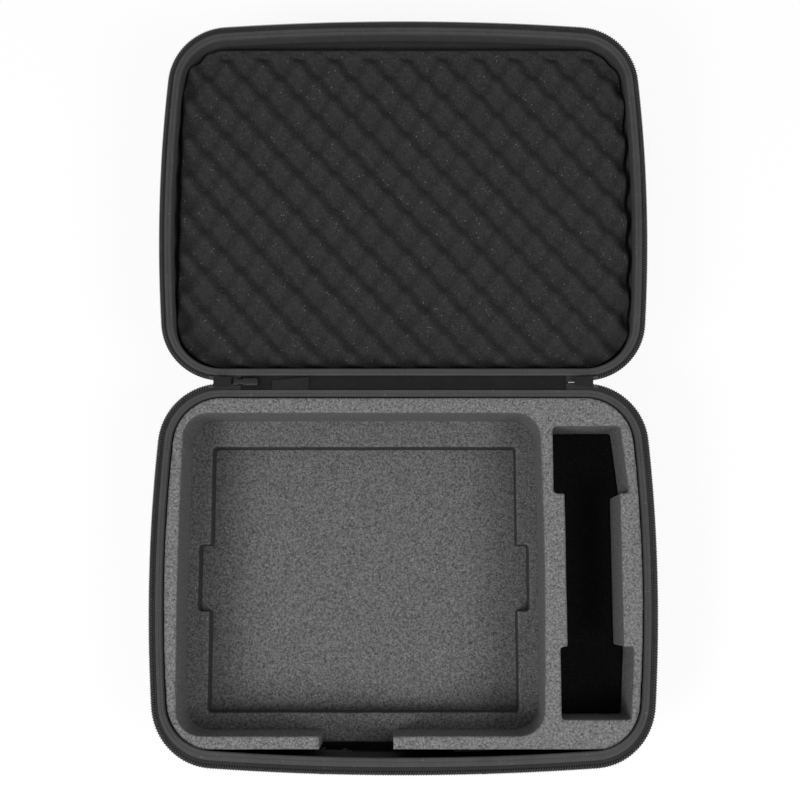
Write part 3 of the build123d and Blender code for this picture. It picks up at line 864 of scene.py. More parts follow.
@dataclass
class Ring:
    """A piece swept along the rim from a section of reach and height."""

    name: str
    sizes: Sizes
    half: Half
    section: list
    outline: Outline
    stations: np.ndarray | None = None
    lifts: np.ndarray | None = None

    def build(self) -> Piece:
        """Sweep the section and return the piece, closed on itself or capped at its ends."""
        numbers = np.arange(len(self.outline.distance)) if self.stations is None else self.stations
        closed = self.stations is None
        section = np.array(self.section)
        at = self.outline.points[numbers]
        out = self.outline.normals[numbers]
        lift = np.zeros((len(numbers), len(section), 2)) if self.lifts is None else self.lifts
        reach = section[None, :, 0] + lift[:, :, 0]
        level = section[None, :, 1] + lift[:, :, 1]
        x = at[:, 0:1] + out[:, 0:1] * reach
        y = at[:, 1:2] + out[:, 1:2] * reach
        z = self.sizes.rim_z + level
        points = self.sizes.place(self.half, np.stack([x, y, z], axis=2).reshape(-1, 3))
        faces = loop_faces(len(numbers), len(section), closed, True)
        if not closed:
            last = (len(numbers) - 1) * len(section)
            faces.append(tuple(range(len(section)))[::-1])
            faces.append(tuple(last + number for number in range(len(section))))
        piece = new_piece(self.name, points, faces)
        steps = np.hypot(*(np.roll(section, -1, axis=0) - section).T)
        across = np.concatenate([[0.0], np.cumsum(steps)[:-1]])
        set_tape_map(
            piece, np.repeat(self.outline.distance[numbers], len(section)), np.tile(across, len(numbers))
        )
        return piece


def rounded_section(corners: list, steps: int = 4) -> list:
    """Round the corners of a closed section.

    Args:
        corners: Rows of reach, height and corner radius in millimetres.
        steps: Points on each rounded corner.

    Returns:
        The section's points in metres.
    """
    corners = np.array(corners) * MM
    count = len(corners)
    section = []
    for number, (reach, height, radius) in enumerate(corners):
        here = np.array([reach, height])
        before = np.array(corners[number - 1][:2]) - here
        after = np.array(corners[(number + 1) % count][:2]) - here
        if radius <= 0:
            section.append(tuple(here))
            continue
        start = here + before / np.hypot(*before) * radius
        end = here + after / np.hypot(*after) * radius
        for step in range(steps + 1):
            share = step / steps
            point = start * (1 - share) ** 2 + here * 2 * share * (1 - share) + end * share**2
            section.append(tuple(point))
    return section


def stitches(
    name: str, centres: np.ndarray, ways: np.ndarray, ups: np.ndarray, length: float, radius: float
) -> Piece:
    """Make a row of sewn stitches as short arched threads.

    Args:
        name: The row's name.
        centres: The stitches' middles.
        ways: Unit vectors along the seam.
        ups: Unit vectors out of the cloth.
        length: Length of a stitch.
        radius: The thread's radius.

    Returns:
        The row as one object.
    """
    sides = 6
    shares = np.array([-0.5, -0.38, 0.0, 0.38, 0.5])
    rises = np.array([-0.9, 0.1, 0.55, 0.1, -0.9])
    widths = np.array([0.45, 1.0, 1.0, 1.0, 0.45])
    turns = np.arange(sides) * 2 * math.pi / sides
    template = np.array(
        [
            (share * length, math.cos(turn) * width * radius, (math.sin(turn) * width + rise) * radius)
            for share, rise, width in zip(shares, rises, widths)
            for turn in turns
        ]
    )
    one = loop_faces(len(shares), sides, False, True)
    one.append(tuple(range(sides)))
    one.append(tuple((len(shares) - 1) * sides + number for number in range(sides))[::-1])
    return scatter(name, template, one, centres, [ways, np.cross(ups, ways), ups])


@dataclass
class FoamPiece:
    """A cut foam layer, softened from its packed block: rubbed edges and slightly uneven faces."""

    node: str
    slot: str
    finish: Finish
    voxel: float = 1.5 * MM
    softening: int = 1
    unevenness: float = 0.5 * MM
    unevenness_size: float = 34 * MM

    def build(self, frame: dict) -> Piece:
        """Model the layer and put it in its node's place.


        Returns:
            The foam piece.
        """
        piece = bpy.data.objects.new(self.node + "_foam", frame["nodes"][self.node].data.copy())
        bpy.context.scene.collection.objects.link(piece)
        remesh = piece.modifiers.new("remesh", "REMESH")
        remesh.mode = "VOXEL"
        remesh.voxel_size = self.voxel
        smooth = piece.modifiers.new("smooth", "SMOOTH")
        smooth.factor = 0.5
        smooth.iterations = self.softening
        shaped = bpy.data.meshes.new_from_object(piece.evaluated_get(bpy.context.evaluated_depsgraph_get()))
        piece.modifiers.clear()
        piece.data = shaped
        shaped.name = piece.name
        self.make_uneven(shaped)
        shaped.shade_smooth()
        fit(piece, self.finish, "base", self.node)
        return piece

    def make_uneven(self, mesh: bpy.types.Mesh) -> None:
        """Press the faces in a little, here more and there less.

        Args:
            mesh: The softened mesh.
        """
        count = len(mesh.vertices)
        points = np.zeros(count * 3)
        mesh.vertices.foreach_get("co", points)
        points = points.reshape(-1, 3)
        normals = np.zeros(count * 3)
        mesh.vertices.foreach_get("normal", normals)
        normals = normals.reshape(-1, 3)
        noise = value_noise(points, self.unevenness_size, 3) + 0.5 * value_noise(points, 9 * MM, 4)
        depth = self.unevenness * (0.35 + 0.3 * noise)
        mesh.vertices.foreach_set("co", (points - normals * depth[:, None]).ravel())
        mesh.update()


@dataclass
class EggCrate:
    """The lid's convoluted foam: rows of rounded peaks and pits, cut to the lid's plan."""

    node: str = "egg_crate_foam"
    half_pitch: float = 17.17 * MM
    row_pitch: float = 18.8 * MM
    pit_height: float = 12.5 * MM
    peak_height: float = 25 * MM
    far_height: float = 21 * MM
    far_start: float = 8 * MM
    far_slope: float = 6 * MM
    wander: float = 0.9 * MM
    unevenness: float = 0.6 * MM
    phase: float = 20.6 * MM
    step: float = 1.5 * MM
    corner_radius: float = 44 * MM
    edge_round: float = 2.2 * MM
    skew: float = 0.3
    peak_power: float = 1.15

    def height(self, x: np.ndarray, y: np.ndarray, far: float) -> np.ndarray:
        """Height of the foam's face above its back.

        Args:
            x: Places across the lid.
            y: Places along the lid.
            far: Y of the foam's edge away from the hinge, where it is pressed level.

        Returns:
            The heights in metres.
        """
        flat = np.column_stack([x.ravel(), y.ravel(), np.zeros(x.size)])
        drift_x = value_noise(flat, 60 * MM, 11).reshape(x.shape) * self.wander
        drift_y = value_noise(flat, 60 * MM, 12).reshape(x.shape) * self.wander
        column = (x + drift_x - self.phase) / self.half_pitch
        row = (y + drift_y - far) / self.row_pitch
        wave = np.cos(math.pi * column) * np.cos(math.pi * row)
        wave = wave + self.skew * np.cos(math.pi * (column + row)) * (1 - wave**2)
        wave = np.clip(wave, -1, 1)
        wave = np.sign(wave) * np.abs(wave) ** self.peak_power
        middle = (self.pit_height + self.peak_height) / 2
        swing = (self.peak_height - self.pit_height) / 2
        uneven = value_noise(flat, 25 * MM, 13).reshape(x.shape) - 1
        level = middle + swing * wave + uneven * self.unevenness
        share = np.clip((y - far + self.far_start) / self.far_slope, 0, 1)
        share = share * share * (3 - 2 * share)
        return level + (self.far_height - level) * share

    def build(self) -> Piece:
        """Model the foam as a closed mesh in its node's place and return it."""
        low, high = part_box(self.node)
        rows = round((high.y - low.y) / self.step) + 1
        columns = round((high.x - low.x) / self.step) + 1
        share = np.linspace(-1, 1, rows)
        y = (low.y + high.y) / 2 + (high.y - low.y) / 2 * np.sign(share) * (1 - (1 - np.abs(share)) ** 1.12)
        inside = np.minimum(y - low.y, high.y - y)
        bend = np.clip(self.corner_radius - inside, 0, None)
        side = (high.x - low.x) / 2 - self.corner_radius
        half = side + np.sqrt(np.clip(self.corner_radius**2 - bend**2, 0, None))
        across = np.linspace(-1, 1, columns)
        x = (low.x + high.x) / 2 + half[:, None] * across[None, :]
        y = np.repeat(y[:, None], columns, axis=1)
        edge = np.minimum(half[:, None] * (1 - np.abs(across[None, :])), inside[:, None])
        drop = np.clip(1 - edge / self.edge_round, 0, 1) ** 2 * self.edge_round * 0.6
        top = low.z + self.height(x, y, high.y) - drop
        top = np.minimum(top, high.z)
        upper = np.stack([x, y, top], axis=2).reshape(-1, 3)
        lower = np.stack([x, y, np.full_like(x, low.z)], axis=2).reshape(-1, 3)
        piece = new_piece("lid_egg_crate", np.vstack([upper, lower]), slab_faces(rows, columns))
        fit(piece, CRATE_FOAM, "lid", self.node)
        return piece


@dataclass
class Lining:
    """The cloth laminated inside a shell: walls, a rounded foot and a flat floor."""

    sizes: Sizes
    half: Half
    depth: float
    edge_radius: float
    gap: float = 0.1 * MM
    step: float = 6 * MM
    steps: int = 8

    def build(self) -> Piece:
        """Model the lining in its node's place and return it."""
        outline = self.sizes.plan.outline(self.step)
        wall = self.sizes.shell_wall + self.gap
        face = wall + self.sizes.lining
        bottom = -self.depth + self.sizes.lining + self.sizes.shell_wall
        radius = self.edge_radius - face
        thick = self.sizes.lining
        section = self.profile(-face, bottom, radius)
        backs = self.profile(-wall, bottom - thick, radius + thick)
        points = []
        for reach, level in section + backs[::-1]:
            at = outline.points + outline.normals * reach
            points.append(np.column_stack([at, np.full(len(at), self.sizes.rim_z + level)]))
        count = len(outline.distance)
        rings = len(points)
        grid = np.vstack(points)
        grid = self.sizes.place(self.half, grid)
        faces = [quad[::-1] for quad in loop_faces(rings, count, False, True)]
        inner = (len(section) - 1) * count
        floor_inner = tuple(inner + number for number in range(count))
        floor_outer = tuple(len(section) * count + number for number in range(count))
        faces = [
            quad for quad in faces if not (inner <= min(quad) < inner + count and max(quad) >= inner + count)
        ]
        faces += [floor_inner, floor_outer[::-1]]
        last = (rings - 1) * count
        for number in range(count):
            after = (number + 1) % count
            faces.append((number, after, last + after, last + number))
        side = self.half.value
        piece = new_piece(side + "_cloth_lining", grid, faces)
        return fit(piece, LINING_CLOTH, side, side + "_lining")

    def profile(self, reach: float, bottom: float, radius: float) -> list:
        """Draw one face of the cloth from the rim down the wall and round the foot.

        Args:
            reach: Where the wall stands.
            bottom: Height of the floor.
            radius: Radius of the foot.

        Returns:
            Rows of reach and height.
        """
        rows = [(reach, -self.gap)]
        for step in range(self.steps + 1):
            turn = step / self.steps * math.pi / 2
            rows.append((reach - radius * (1 - math.cos(turn)), bottom + radius * (1 - math.sin(turn))))
        return rows


@dataclass
class Binding:
    """Tape folded over a rim and sewn down, with small puckers between its stitches."""

    sizes: Sizes
    half: Half
    stitch_pitch: float = 3.4 * MM
    stitch_length: float = 2.5 * MM
    thread_radius: float = 0.28 * MM
    seam_reach: float = -2.5 * MM
    seam_level: float = 2.75 * MM
    pucker: float = 0.16 * MM
    unevenness: float = 0.25 * MM
    unevenness_size: float = 12 * MM
    step: float = 1.7 * MM
    shift: float = 0.0
    front_lean: float = 0.0

    def build(self) -> list:
        """Model the tape and its stitches and return them."""
        outline = self.sizes.plan.outline(self.step)
        shift = self.shift / MM
        lip = [(0.8 + shift, 2.2, 0.3), (-0.02, 2.12, 0), (-0.02, 0.02, 0)]
        face = [(-4.36, 0.02, 0), (-4.36, -14, 0), (-5.1, -14, 0.2), (-5.5, 0.6, 0.8)]
        crown = [(-4.9 + shift / 2, 2.7, 0.9), (-3.3 + shift, 3.1, 0.5), (-2.5 + shift, 2.55, 0.3)]
        edge = [(-1.7 + shift, 3.1, 0.5), (0.8 + shift, 3, 0.6)]
        section = rounded_section(lip + face + crown + edge)
        turns = outline.distance / self.stitch_pitch * 2 * math.pi
        spots = np.column_stack([outline.points, np.zeros(len(turns))])
        noise = value_noise(spots, self.unevenness_size, 21)
        rise = self.pucker * np.cos(turns) + self.unevenness * noise
        lifts = np.zeros((len(turns), len(section), 2))
        shares = np.clip((np.array(section)[:, 1] - 2.3 * MM) / (0.5 * MM), 0, 1)
        lifts[:, :, 1] = rise[:, None] * shares[None, :]
        front = np.clip(-outline.normals[:, 1], 0, 1) ** 2 * self.front_lean
        inner = np.clip((np.array(section)[:, 1] + 4 * MM) / (5 * MM), 0, 1)
        inner *= np.clip(-np.array(section)[:, 0] / (4 * MM), 0, 1)
        lifts[:, :, 0] = front[:, None] * inner[None, :]
        side = self.half.value
        ring = Ring(side + "_binding", self.sizes, self.half, section, outline, lifts=lifts)
        tape = fit(ring.build(), BINDING_TAPE, side, side + "_rim_binding")
        return [tape, self.seam()]

    def seam(self) -> Piece:
        """Sew one row of stitches along the tape and return it."""
        outline = self.sizes.plan.outline(self.stitch_pitch)
        at = outline.points + outline.normals * (self.seam_reach + self.shift)
        level = np.full(len(at), self.sizes.rim_z + self.seam_level)
        centres = self.sizes.place(self.half, np.column_stack([at, level]))
        ahead = np.roll(centres, -1, axis=0) - np.roll(centres, 1, axis=0)
        ways = ahead / np.linalg.norm(ahead, axis=1)[:, None]
        ups = np.tile([0.0, 0.0, 1.0], (len(at), 1))
        seam = stitches(
            self.half.value + "_binding_seam", centres, ways, ups, self.stitch_length, self.thread_radius
        )
        return fit(seam, THREAD, self.half.value)


@dataclass
class Zip:
    """One side of the zip: a woven tape sewn to the rim and a coil of nylon teeth on its edge."""

    sizes: Sizes
    half: Half
    tape_top: float = 2.1 * MM
    tape_reach: float = 6.0 * MM
    tape_thickness: float = 0.8 * MM
    leg_depth: float = 9.0 * MM
    tooth_pitch: float = 2.2 * MM
    wire_radius: float = 0.42 * MM
    coil_start: float = 176.3 * MM
    tape_start: float = 146 * MM
    tape_step: float = 2.2 * MM
    wave: float = 0.22 * MM
    wave_size: float = 22 * MM
    seam_depth: float = 4.5 * MM
    stitch_pitch: float = 3.2 * MM
    stitch_length: float = 2.3 * MM
    thread_radius: float = 0.28 * MM
    front_lean: float = 1.0 * MM
    side_lean: float = -0.1 * MM
    hinge_lean: float = 1.3 * MM
    slider_reach: float = 167 * MM

    def build(self) -> list:
        """Model the tape, its seam and the teeth, and return them."""
        return [self.tape(), self.seam(), self.teeth()]

    def lean(self, at: np.ndarray, out: np.ndarray) -> np.ndarray:
        """How far the tape's free edge stands out beyond its usual reach.

        Args:
            at: Stations on the rim.
            out: Their outward normals.

        Returns:
            A distance for each station: out at the front, in at the sides, and out beside the hinge.
        """
        front = np.clip(-out[:, 1], 0, 1) ** 2 * self.front_lean
        side = out[:, 0] ** 2 * self.side_lean
        behind = (at[:, 1] > self.sizes.plan.half_length - 1e-6) & (np.abs(at[:, 0]) < self.slider_reach)
        return front + side + np.where(behind, self.hinge_lean, 0.0)

    def tape(self) -> Piece:
        """Model the woven tape and return it."""
        outline = self.sizes.plan.outline(self.tape_step)
        numbers = self.sizes.stations_from(outline, self.tape_start)
        sizes = (self.tape_top, self.tape_reach, self.tape_thickness, self.leg_depth)
        top, reach, thick, leg = (size / MM for size in sizes)
        upper = [(0.03, -leg, 0), (0.03, top - 0.2, 1), (reach, top, 0.2)]
        lower = [(reach, top - thick, 0.2), (thick, top - thick - 0.2, 0.7), (thick, -leg, 0)]
        section = rounded_section(upper + lower)
        spots = np.column_stack([outline.points[numbers], np.zeros(len(numbers))])
        noise = value_noise(spots, self.wave_size, 31) * self.wave
        shares = np.clip(np.array(section)[:, 0] / self.tape_reach, 0, 1)
        lifts = np.zeros((len(numbers), len(section), 2))
        lean = self.lean(outline.points[numbers], outline.normals[numbers])
        lifts[:, :, 0] = lean[:, None] * shares[None, :]
        lifts[:, :, 1] = noise[:, None] * shares[None, :]
        side = self.half.value
        ring = Ring(side + "_woven_zip_tape", self.sizes, self.half, section, outline, numbers, lifts)
        return fit(ring.build(), ZIP_TAPE, side, side + "_zip_tape")

    def seam(self) -> Piece:
        """Sew a row of stitches through the tape's leg, seen from outside, and return it."""
        outline = self.sizes.plan.outline(self.stitch_pitch)
        numbers = self.sizes.stations_from(outline, self.sizes.zip_start)[1:-1]
        out = outline.normals[numbers]
        at = outline.points[numbers] + out * (self.tape_thickness + 0.05 * MM)
        level = np.full(len(at), self.sizes.rim_z - self.seam_depth)
        centres = self.sizes.place(self.half, np.column_stack([at, level]))
        outwards = self.sizes.turn(self.half, np.column_stack([out, np.zeros(len(out))]))
        ways = np.cross(np.tile([0.0, 0.0, 1.0], (len(at), 1)), outwards)
        side = self.half.value
        seam = stitches(side + "_zip_seam", centres, ways, outwards, self.stitch_length, self.thread_radius)
        return fit(seam, THREAD, side)

    def teeth(self) -> Piece:
        """Model the coil's teeth as bent nylon loops and return them as one piece."""
        outline = self.sizes.plan.outline(self.tooth_pitch)
        numbers = self.sizes.stations_from(outline, self.coil_start)
        radius = self.wire_radius
        low = self.tape_top + radius
        high = self.tape_top + 1.8 * MM - radius
        middle = (low + high) / 2
        spread = 0.25 * self.tooth_pitch
        reaches = np.array([3.3, 3.05, 3.3, 4.6, 5.6, 6.0, 5.6, 4.6]) * MM
        sideways = np.array([-0.4, 0.0, 0.4, 0.8, 0.6, 0.0, -0.6, -0.8]) * spread
        loop = np.column_stack([reaches, sideways, [low, middle, high, high, high, middle, low, low]])
        ahead = np.roll(loop, -1, axis=0) - np.roll(loop, 1, axis=0)
        ahead /= np.linalg.norm(ahead, axis=1)[:, None]
        side_way = np.cross(ahead, [0.0, 1.0, 0.0])
        side_way /= np.linalg.norm(side_way, axis=1)[:, None]
        other_way = np.cross(ahead, side_way)
        sides = 6
        swell = np.array([1.0, 1.0, 1.0, 1.0, 1.25, 1.35, 1.25, 1.0])
        template = []
        for place, first, second, thick in zip(loop, side_way, other_way, swell):
            for side in range(sides):
                turn = 2 * math.pi * side / sides
                around = first * math.cos(turn) + second * math.sin(turn)
                template.append(place + around * radius * thick)
        template = np.array(template)
        out = outline.normals[numbers]
        at = outline.points[numbers]
        at = at + out * self.lean(at, out)[:, None]
        level = np.full(len(at), self.sizes.rim_z)
        centres = self.sizes.place(self.half, np.column_stack([at, level]))
        ups = np.tile([0.0, 0.0, 1.0], (len(at), 1))
        outwards = self.sizes.turn(self.half, np.column_stack([out, np.zeros(len(out))]))
        one = loop_faces(len(loop), sides, True, True)
        side = self.half.value
        ways = [outwards, np.cross(outwards, ups), ups]
        coil = scatter(side + "_coil_teeth", template, one, centres, ways)
        return fit(coil, COIL_NYLON, side, side + "_zip_coil")


@dataclass
class HingeStrip:
    """The cloth hinge: webbing sewn to both shells, a lining tape over it and a bare woven tab."""

    sizes: Sizes
    half_length: float = 150 * MM
    leg_depth: float = 12 * MM
    wrinkle: float = 0.6 * MM
    wrinkle_size: float = 16 * MM
    columns: int = 150
    tab_short_side: float = 9.4 * MM
    tab_thickness: float = 0.45 * MM
    tab_curl: float = 0.9 * MM
    tab_ripple: float = 0.15 * MM

    def build(self) -> list:
        """Model the webbing, the lining tape and the tab, and return them."""
        return [self.webbing(), self.lining_tape(), self.tab()]

    def bend(self, piece: Piece) -> None:
        """Bake the piece's transform into its mesh."""
        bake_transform(piece)

    def cloth(self, name: str, profile: list, thickness: float) -> Piece:
        """Sweep a cloth across the hinge line.

        Args:
            name: The piece's name.
            profile: Rows of y from the hinge line and z from the rim, along the cloth.
            thickness: Its thickness.

        Returns:
            The cloth as a closed thin mesh.
        """
        line = np.array(profile)
        steps = np.hypot(*np.diff(line, axis=0).T)
        reach = np.concatenate([[0.0], np.cumsum(steps)])
        fine = np.linspace(0, reach[-1], max(12, round(reach[-1] / (1.0 * MM))))
        y = np.interp(fine, reach, line[:, 0])
        z = np.interp(fine, reach, line[:, 1])
        x = np.linspace(-self.half_length, self.half_length, self.columns)
        grid_x, grid_y = np.meshgrid(x, y, indexing="ij")
        grid_z = np.broadcast_to(z, grid_x.shape).copy()
        free = np.clip(1 - np.abs(grid_y) / (6.0 * MM), 0, 1)
        spots = np.column_stack([grid_x.ravel(), grid_y.ravel() * 3, np.zeros(grid_x.size)])
        folds = value_noise(spots, self.wrinkle_size, 41).reshape(grid_x.shape)
        grid_z += self.wrinkle * free * (folds - 0.6)
        tangent_y = np.gradient(y)
        tangent_z = np.gradient(z)
        size = np.hypot(tangent_y, tangent_z)
        across_y = tangent_z / size
        across_z = -tangent_y / size
        first = np.stack([grid_x, grid_y + self.sizes.hinge_y, grid_z + self.sizes.rim_z], axis=2)
        second = first.copy()
        second[:, :, 1] += across_y[None, :] * thickness
        second[:, :, 2] += across_z[None, :] * thickness
        faces = [face[::-1] for face in slab_faces(*grid_x.shape)]
        piece = new_piece(name, np.vstack([first.reshape(-1, 3), second.reshape(-1, 3)]), faces)
        along = np.tile(grid_x.ravel(), 2)
        set_tape_map(piece, along, np.tile(np.broadcast_to(fine, grid_x.shape).ravel(), 2))
        return piece

    def webbing(self) -> Piece:
        """Model the outer webbing with its two sewn legs and return it."""
        edge = self.sizes.hinge_y - self.sizes.plan.half_length - 0.3 * MM
        side = [(-edge, -self.leg_depth), (-edge, -1.6 * MM)]
        side += [(-edge + 0.5 * MM, -0.4 * MM), (-edge + 1.6 * MM, 0.0)]
        profile = side + [(-y, z) for y, z in reversed(side)]
        piece = self.cloth("hinge_webbing", profile, 1.0 * MM)
        self.bend(piece)
        fit(piece, HINGE_WEBBING, node="hinge_strip_outer")
        return piece

    def lining_tape(self) -> Piece:
        """Model the lining tape that lies on the webbing and return it."""
        edge = self.sizes.hinge_y - self.sizes.plan.half_length - 0.1 * MM
        profile = [(-edge, 0.75 * MM), (-3 * MM, 0.85 * MM), (3 * MM, 0.85 * MM), (edge, 0.75 * MM)]
        piece = self.cloth("hinge_lining_tape", profile, 0.6 * MM)
        self.bend(piece)
        fit(piece, HINGE_LINING, node="hinge_strip_inner")
        return piece

    def tab(self) -> Piece:
        """Model the bare woven tab, a little curled, and return it."""
        low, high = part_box("label_tab")
        rows, columns = 40, 18
        across = np.linspace(0, 1, rows)
        along = np.linspace(0, 1, columns)
        reach = self.tab_short_side + (high.y - low.y - self.tab_short_side) * across
        x = np.repeat((low.x + (high.x - low.x) * across)[:, None], columns, axis=1)
        y = low.y + reach[:, None] * along[None, :]
        curl = self.tab_curl * along[None, :] ** 2 * (0.4 + 0.6 * across[:, None])
        ripple = self.tab_ripple * np.sin(across[:, None] * 9 + along[None, :] * 3)
        z = low.z + 0.25 * MM + curl + ripple
        upper = np.stack([x, y, z + self.tab_thickness], axis=2).reshape(-1, 3)
        lower = np.stack([x, y, z], axis=2).reshape(-1, 3)
        piece = new_piece("woven_tab", np.vstack([upper, lower]), slab_faces(rows, columns))
        set_tape_map(piece, np.tile(x.ravel(), 2), np.tile(y.ravel(), 2))
        self.bend(piece)
        fit(piece, TAB_CLOTH, node="label_tab")
        return piece


@dataclass
class Hardware:
    """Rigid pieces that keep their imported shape: shells, sliders, end stops and the carry handle."""

    finishes: dict = field(
        default_factory=lambda: {
            "base_shell": SHELL_CLOTH,
            "lid_shell": SHELL_CLOTH,
            "base_zip_end_stops": COIL_NYLON,
            "lid_zip_end_stops": COIL_NYLON,
            "left_slider_body": SLIDER_PAINT,
            "right_slider_body": SLIDER_PAINT,
            "right_pull_tongue": PULL_CORD,
            "left_pull_cord": PULL_CORD,
            "handle_anchors": ANCHOR_PLASTIC,
            "handle_pins": PIN_PAINT,
            "handle_rivets": PIN_PAINT,
            "handle_backing_plates": PIN_PAINT,
            "handle_core": ANCHOR_PLASTIC,
            "handle_grip": GRIP_RUBBER,
        }
    )
    bevels: dict = field(
        default_factory=lambda: {
            "left_slider_body": 0.3 * MM,
            "right_slider_body": 0.3 * MM,
            "handle_anchors": 0.5 * MM,
            "handle_core": 0.6 * MM,
        }
    )

    def dress(self, frame: dict) -> list:
        """Give each rigid node its finish and softened edges.


        Returns:
            The dressed nodes.
        """
        dressed = []
        for name, finish in self.finishes.items():
            piece = frame["nodes"][name]
            coat(piece, finish)
            if name in self.bevels:
                bevel = piece.modifiers.new("soft edges", "BEVEL")
                bevel.width = self.bevels[name]
                bevel.segments = 2
                bevel.limit_method = "ANGLE"
                bevel.angle_limit = math.radians(40)
            dressed.append(piece)
        return dressed


@dataclass
class Pull:
    """A moulded rubber zip pull: an eye end, a waist and a ridged tongue."""

    body: str
    ridges: int = 5
    steps: int = 90
    sides: int = 24
    ridge_start: float = 0.38
    ridge_span: float = 0.57
    end_round: float = 1.5 * MM
    tape_clearance: float = 1.2 * MM

    def build(self) -> Piece:
        """Model the pull in its node's place and return it."""
        node = self.body + "_grip"
        low, high = (np.array(corner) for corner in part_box(node))
        size = high - low
        level = size[0] > size[2]
        if level:
            low[2] += self.tape_clearance
            size = high - low
        length_axis, thin_axis = (0, 2) if level else (2, 0)
        start, way = (low[0], 1.0) if level else (high[2], -1.0)
        length = size[length_axis]
        share = np.linspace(0, 1, self.steps)
        share = share - np.sin(2 * math.pi * share) / (2 * math.pi) * 0.8
        from_end = np.minimum(share, 1 - share) * length
        cap = np.sqrt(1 - np.clip(1 - from_end / self.end_round, 0, 0.995) ** 2)
        waist = 1 - 0.34 * np.exp(-(((share - 0.3) / 0.1) ** 2))
        begun = share - self.ridge_start
        ridged = np.clip(begun / 0.06, 0, 1) * np.clip((self.ridge_span - begun) / 0.06, 0, 1)
        ridge = 0.5 - 0.5 * np.cos(2 * math.pi * self.ridges * begun / self.ridge_span)
        width = size[1] / 2 * cap * waist
        thick = size[thin_axis] / 2 * cap * (0.95 - 0.3 * ridged * ridge)
        turns = np.arange(self.sides) * 2 * math.pi / self.sides
        across = np.sign(np.cos(turns)) * np.abs(np.cos(turns)) ** 0.7
        upward = np.sign(np.sin(turns)) * np.abs(np.sin(turns)) ** 0.7
        points = np.tile((low + high) / 2, (self.steps, self.sides, 1))
        points[:, :, length_axis] = (start + way * length * share)[:, None]
        points[:, :, 1] += width[:, None] * across[None, :]
        points[:, :, thin_axis] += thick[:, None] * upward[None, :]
        faces = loop_faces(self.steps, self.sides, False, True)
        faces.append(tuple(range(self.sides))[::-1])
        faces.append(tuple((self.steps - 1) * self.sides + side for side in range(self.sides)))
        piece = new_piece(self.body + "_rubber", points.reshape(-1, 3), faces)
        mesh = bmesh.new()
        mesh.from_mesh(piece.data)
        bmesh.ops.recalc_face_normals(mesh, faces=mesh.faces)
        mesh.to_mesh(piece.data)
        mesh.free()
        return fit(piece, PULL_RUBBER, self.body, node)


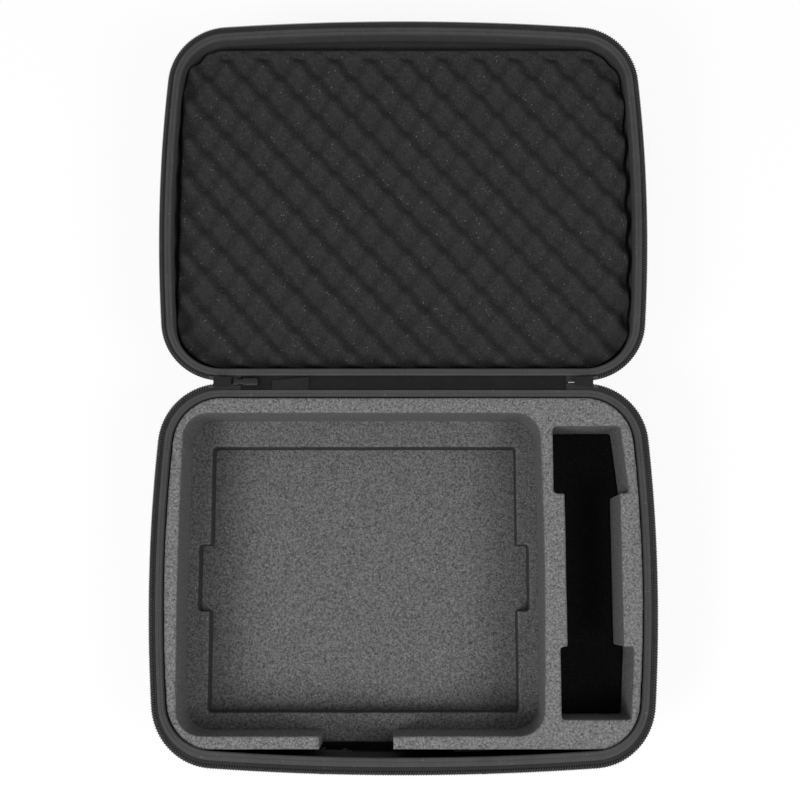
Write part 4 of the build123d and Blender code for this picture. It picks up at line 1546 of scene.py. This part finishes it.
@dataclass
class Studio:
    """A pale floor, soft lamps and the camera at the photograph's place."""

    focal_pixels: float = 1300.0
    frame_pixels: float = 800.0
    sensor: float = 36.0
    camera_place: tuple = (-2.96 * MM, -16.9 * MM, 1267.4 * MM)
    camera_tilt: float = 8.48
    world_strength: float = 0.36
    floor_reach: float = 8.0
    floor_share: float = 0.86
    lamp_size: float = 0.8
    lamp_aim: tuple = (0, 0.17, 0.05)
    key_power: float = 26.0
    side_power: float = 17.0

    def build(self) -> None:
        """Make the world, the floor, the lamps and the camera."""
        self.world()
        self.floor()
        self.lamp("key_lamp", (-1.1, -0.75, 1.8), self.key_power)
        self.lamp("side_lamp", (1.1, -0.5, 1.8), self.side_power)
        self.camera()

    @staticmethod
    def seen_directly(wiring: Wiring) -> Socket:
        """Return a mask of the rays that look at the background: camera, glossy and transmission."""
        rays = wiring.node("ShaderNodeLightPath").outputs
        mirror = wiring.math("MAXIMUM", rays["Is Glossy Ray"], rays["Is Transmission Ray"])
        return wiring.math("MAXIMUM", rays["Is Camera Ray"], mirror)

    def world(self) -> None:
        """Light the scene evenly and show white behind it."""
        world = bpy.data.worlds.new("studio_world")
        bpy.context.scene.world = world
        world.use_nodes = True
        wiring = Wiring(world.node_tree)
        light = wiring.node("ShaderNodeBackground", {"Strength": self.world_strength})
        shown = wiring.node("ShaderNodeBackground", {"Strength": 1.0})
        for node in (light, shown):
            node.inputs["Color"].default_value = (1, 1, 1, 1)
        mix = wiring.node("ShaderNodeMixShader", {0: self.seen_directly(wiring)})
        wiring.feed(mix.inputs[1], light.outputs[0])
        wiring.feed(mix.inputs[2], shown.outputs[0])
        wiring.node("ShaderNodeOutputWorld", {"Surface": mix.outputs[0]})

    def floor(self) -> None:
        """Lay a wide pale floor that keeps a faint shadow."""
        corners = np.array([(-1, -1, 0), (1, -1, 0), (1, 1, 0), (-1, 1, 0)]) * self.floor_reach
        floor = new_piece("studio_floor", corners, [(0, 1, 2, 3)], smooth=False)
        material = bpy.data.materials.new("studio_floor")
        material.use_nodes = True
        wiring = Wiring(material.node_tree)
        matt = wiring.node("ShaderNodeBsdfDiffuse", {"Color": (0.8, 0.8, 0.8, 1)})
        glow = wiring.node("ShaderNodeEmission", {"Color": (1, 1, 1, 1), "Strength": 1.04})
        share = wiring.times(self.seen_directly(wiring), self.floor_share)
        mix = wiring.node("ShaderNodeMixShader", {0: share})
        wiring.feed(mix.inputs[1], matt.outputs[0])
        wiring.feed(mix.inputs[2], glow.outputs[0])
        wiring.node("ShaderNodeOutputMaterial", {"Surface": mix.outputs[0]})
        floor.data.materials.append(material)

    def lamp(self, name: str, place: tuple, power: float) -> None:
        """Hang a square soft lamp that faces the case.

        Args:
            name: The lamp's name.
            place: Where it hangs, in metres.
            power: Its power in watts.
        """
        data = bpy.data.lights.new(name, "AREA")
        data.shape = "SQUARE"
        data.size = self.lamp_size
        data.energy = power
        lamp = bpy.data.objects.new(name, data)
        bpy.context.scene.collection.objects.link(lamp)
        lamp.location = place
        aim = Vector(self.lamp_aim) - Vector(place)
        lamp.rotation_euler = aim.to_track_quat("-Z", "Y").to_euler()

    def camera(self) -> None:
        """Put the camera where the photograph was taken from."""
        data = bpy.data.cameras.new("studio_camera")
        data.sensor_width = self.sensor
        data.lens = self.focal_pixels / self.frame_pixels * self.sensor
        data.clip_start = 0.05
        camera = bpy.data.objects.new("studio_camera", data)
        bpy.context.scene.collection.objects.link(camera)
        camera.location = self.camera_place
        camera.rotation_euler = (math.radians(self.camera_tilt), 0, 0)
        bpy.context.scene.camera = camera
        bpy.context.scene.view_settings.view_transform = "Standard"


def report(pieces: list) -> None:
    """Log each piece's name and number of faces."""
    for piece in pieces:
        LOG.info("%s: %d faces", piece.name, len(piece.data.polygons))


def main() -> None:
    """Build the case in order: studio, hardware, foams, linings, bindings, zips, hinge and pulls."""
    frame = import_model()
    sizes = Sizes.from_frame(frame)
    Studio().build()
    report(Hardware().dress(frame))
    foams = [
        # The floor and ledge finishes carry painted shade for the recess.
        FoamPiece("foam_floor_pad", "cut_foam", SHADED_FLOOR_FOAM),
        FoamPiece("foam_ledge_layer", "cut_foam", SHADED_LEDGE_FOAM),
        FoamPiece("foam_top_frame", "cut_foam", CUT_FOAM),
        # The pocket pad's near-black finish is a painted shadow.
        FoamPiece("side_pocket_pad", "black_foam", POCKET_SHADOW_FOAM),
    ]
    report([foam.build(frame) for foam in foams])
    report([EggCrate().build()])
    lid_low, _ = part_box("lid_lining")
    depths = {Half.BASE: sizes.rim_z, Half.LID: sizes.rim_z - lid_low.z + sizes.shell_wall}
    radii = {Half.BASE: 22 * MM, Half.LID: 16 * MM}
    tape_shift = {Half.BASE: -0.4 * MM, Half.LID: 0.6 * MM}
    tape_lean = {Half.BASE: -2.2 * MM, Half.LID: 0.0}
    for half in Half:
        report([Lining(sizes, half, depths[half], radii[half]).build()])
        report(Binding(sizes, half, shift=tape_shift[half], front_lean=tape_lean[half]).build())
        report(Zip(sizes, half).build())
    report(HingeStrip(sizes).build())
    report([Pull("left_pull").build(), Pull("right_pull").build()])


if __name__ == "__main__":
    logging.basicConfig(level=logging.INFO, format="%(message)s")
    main()
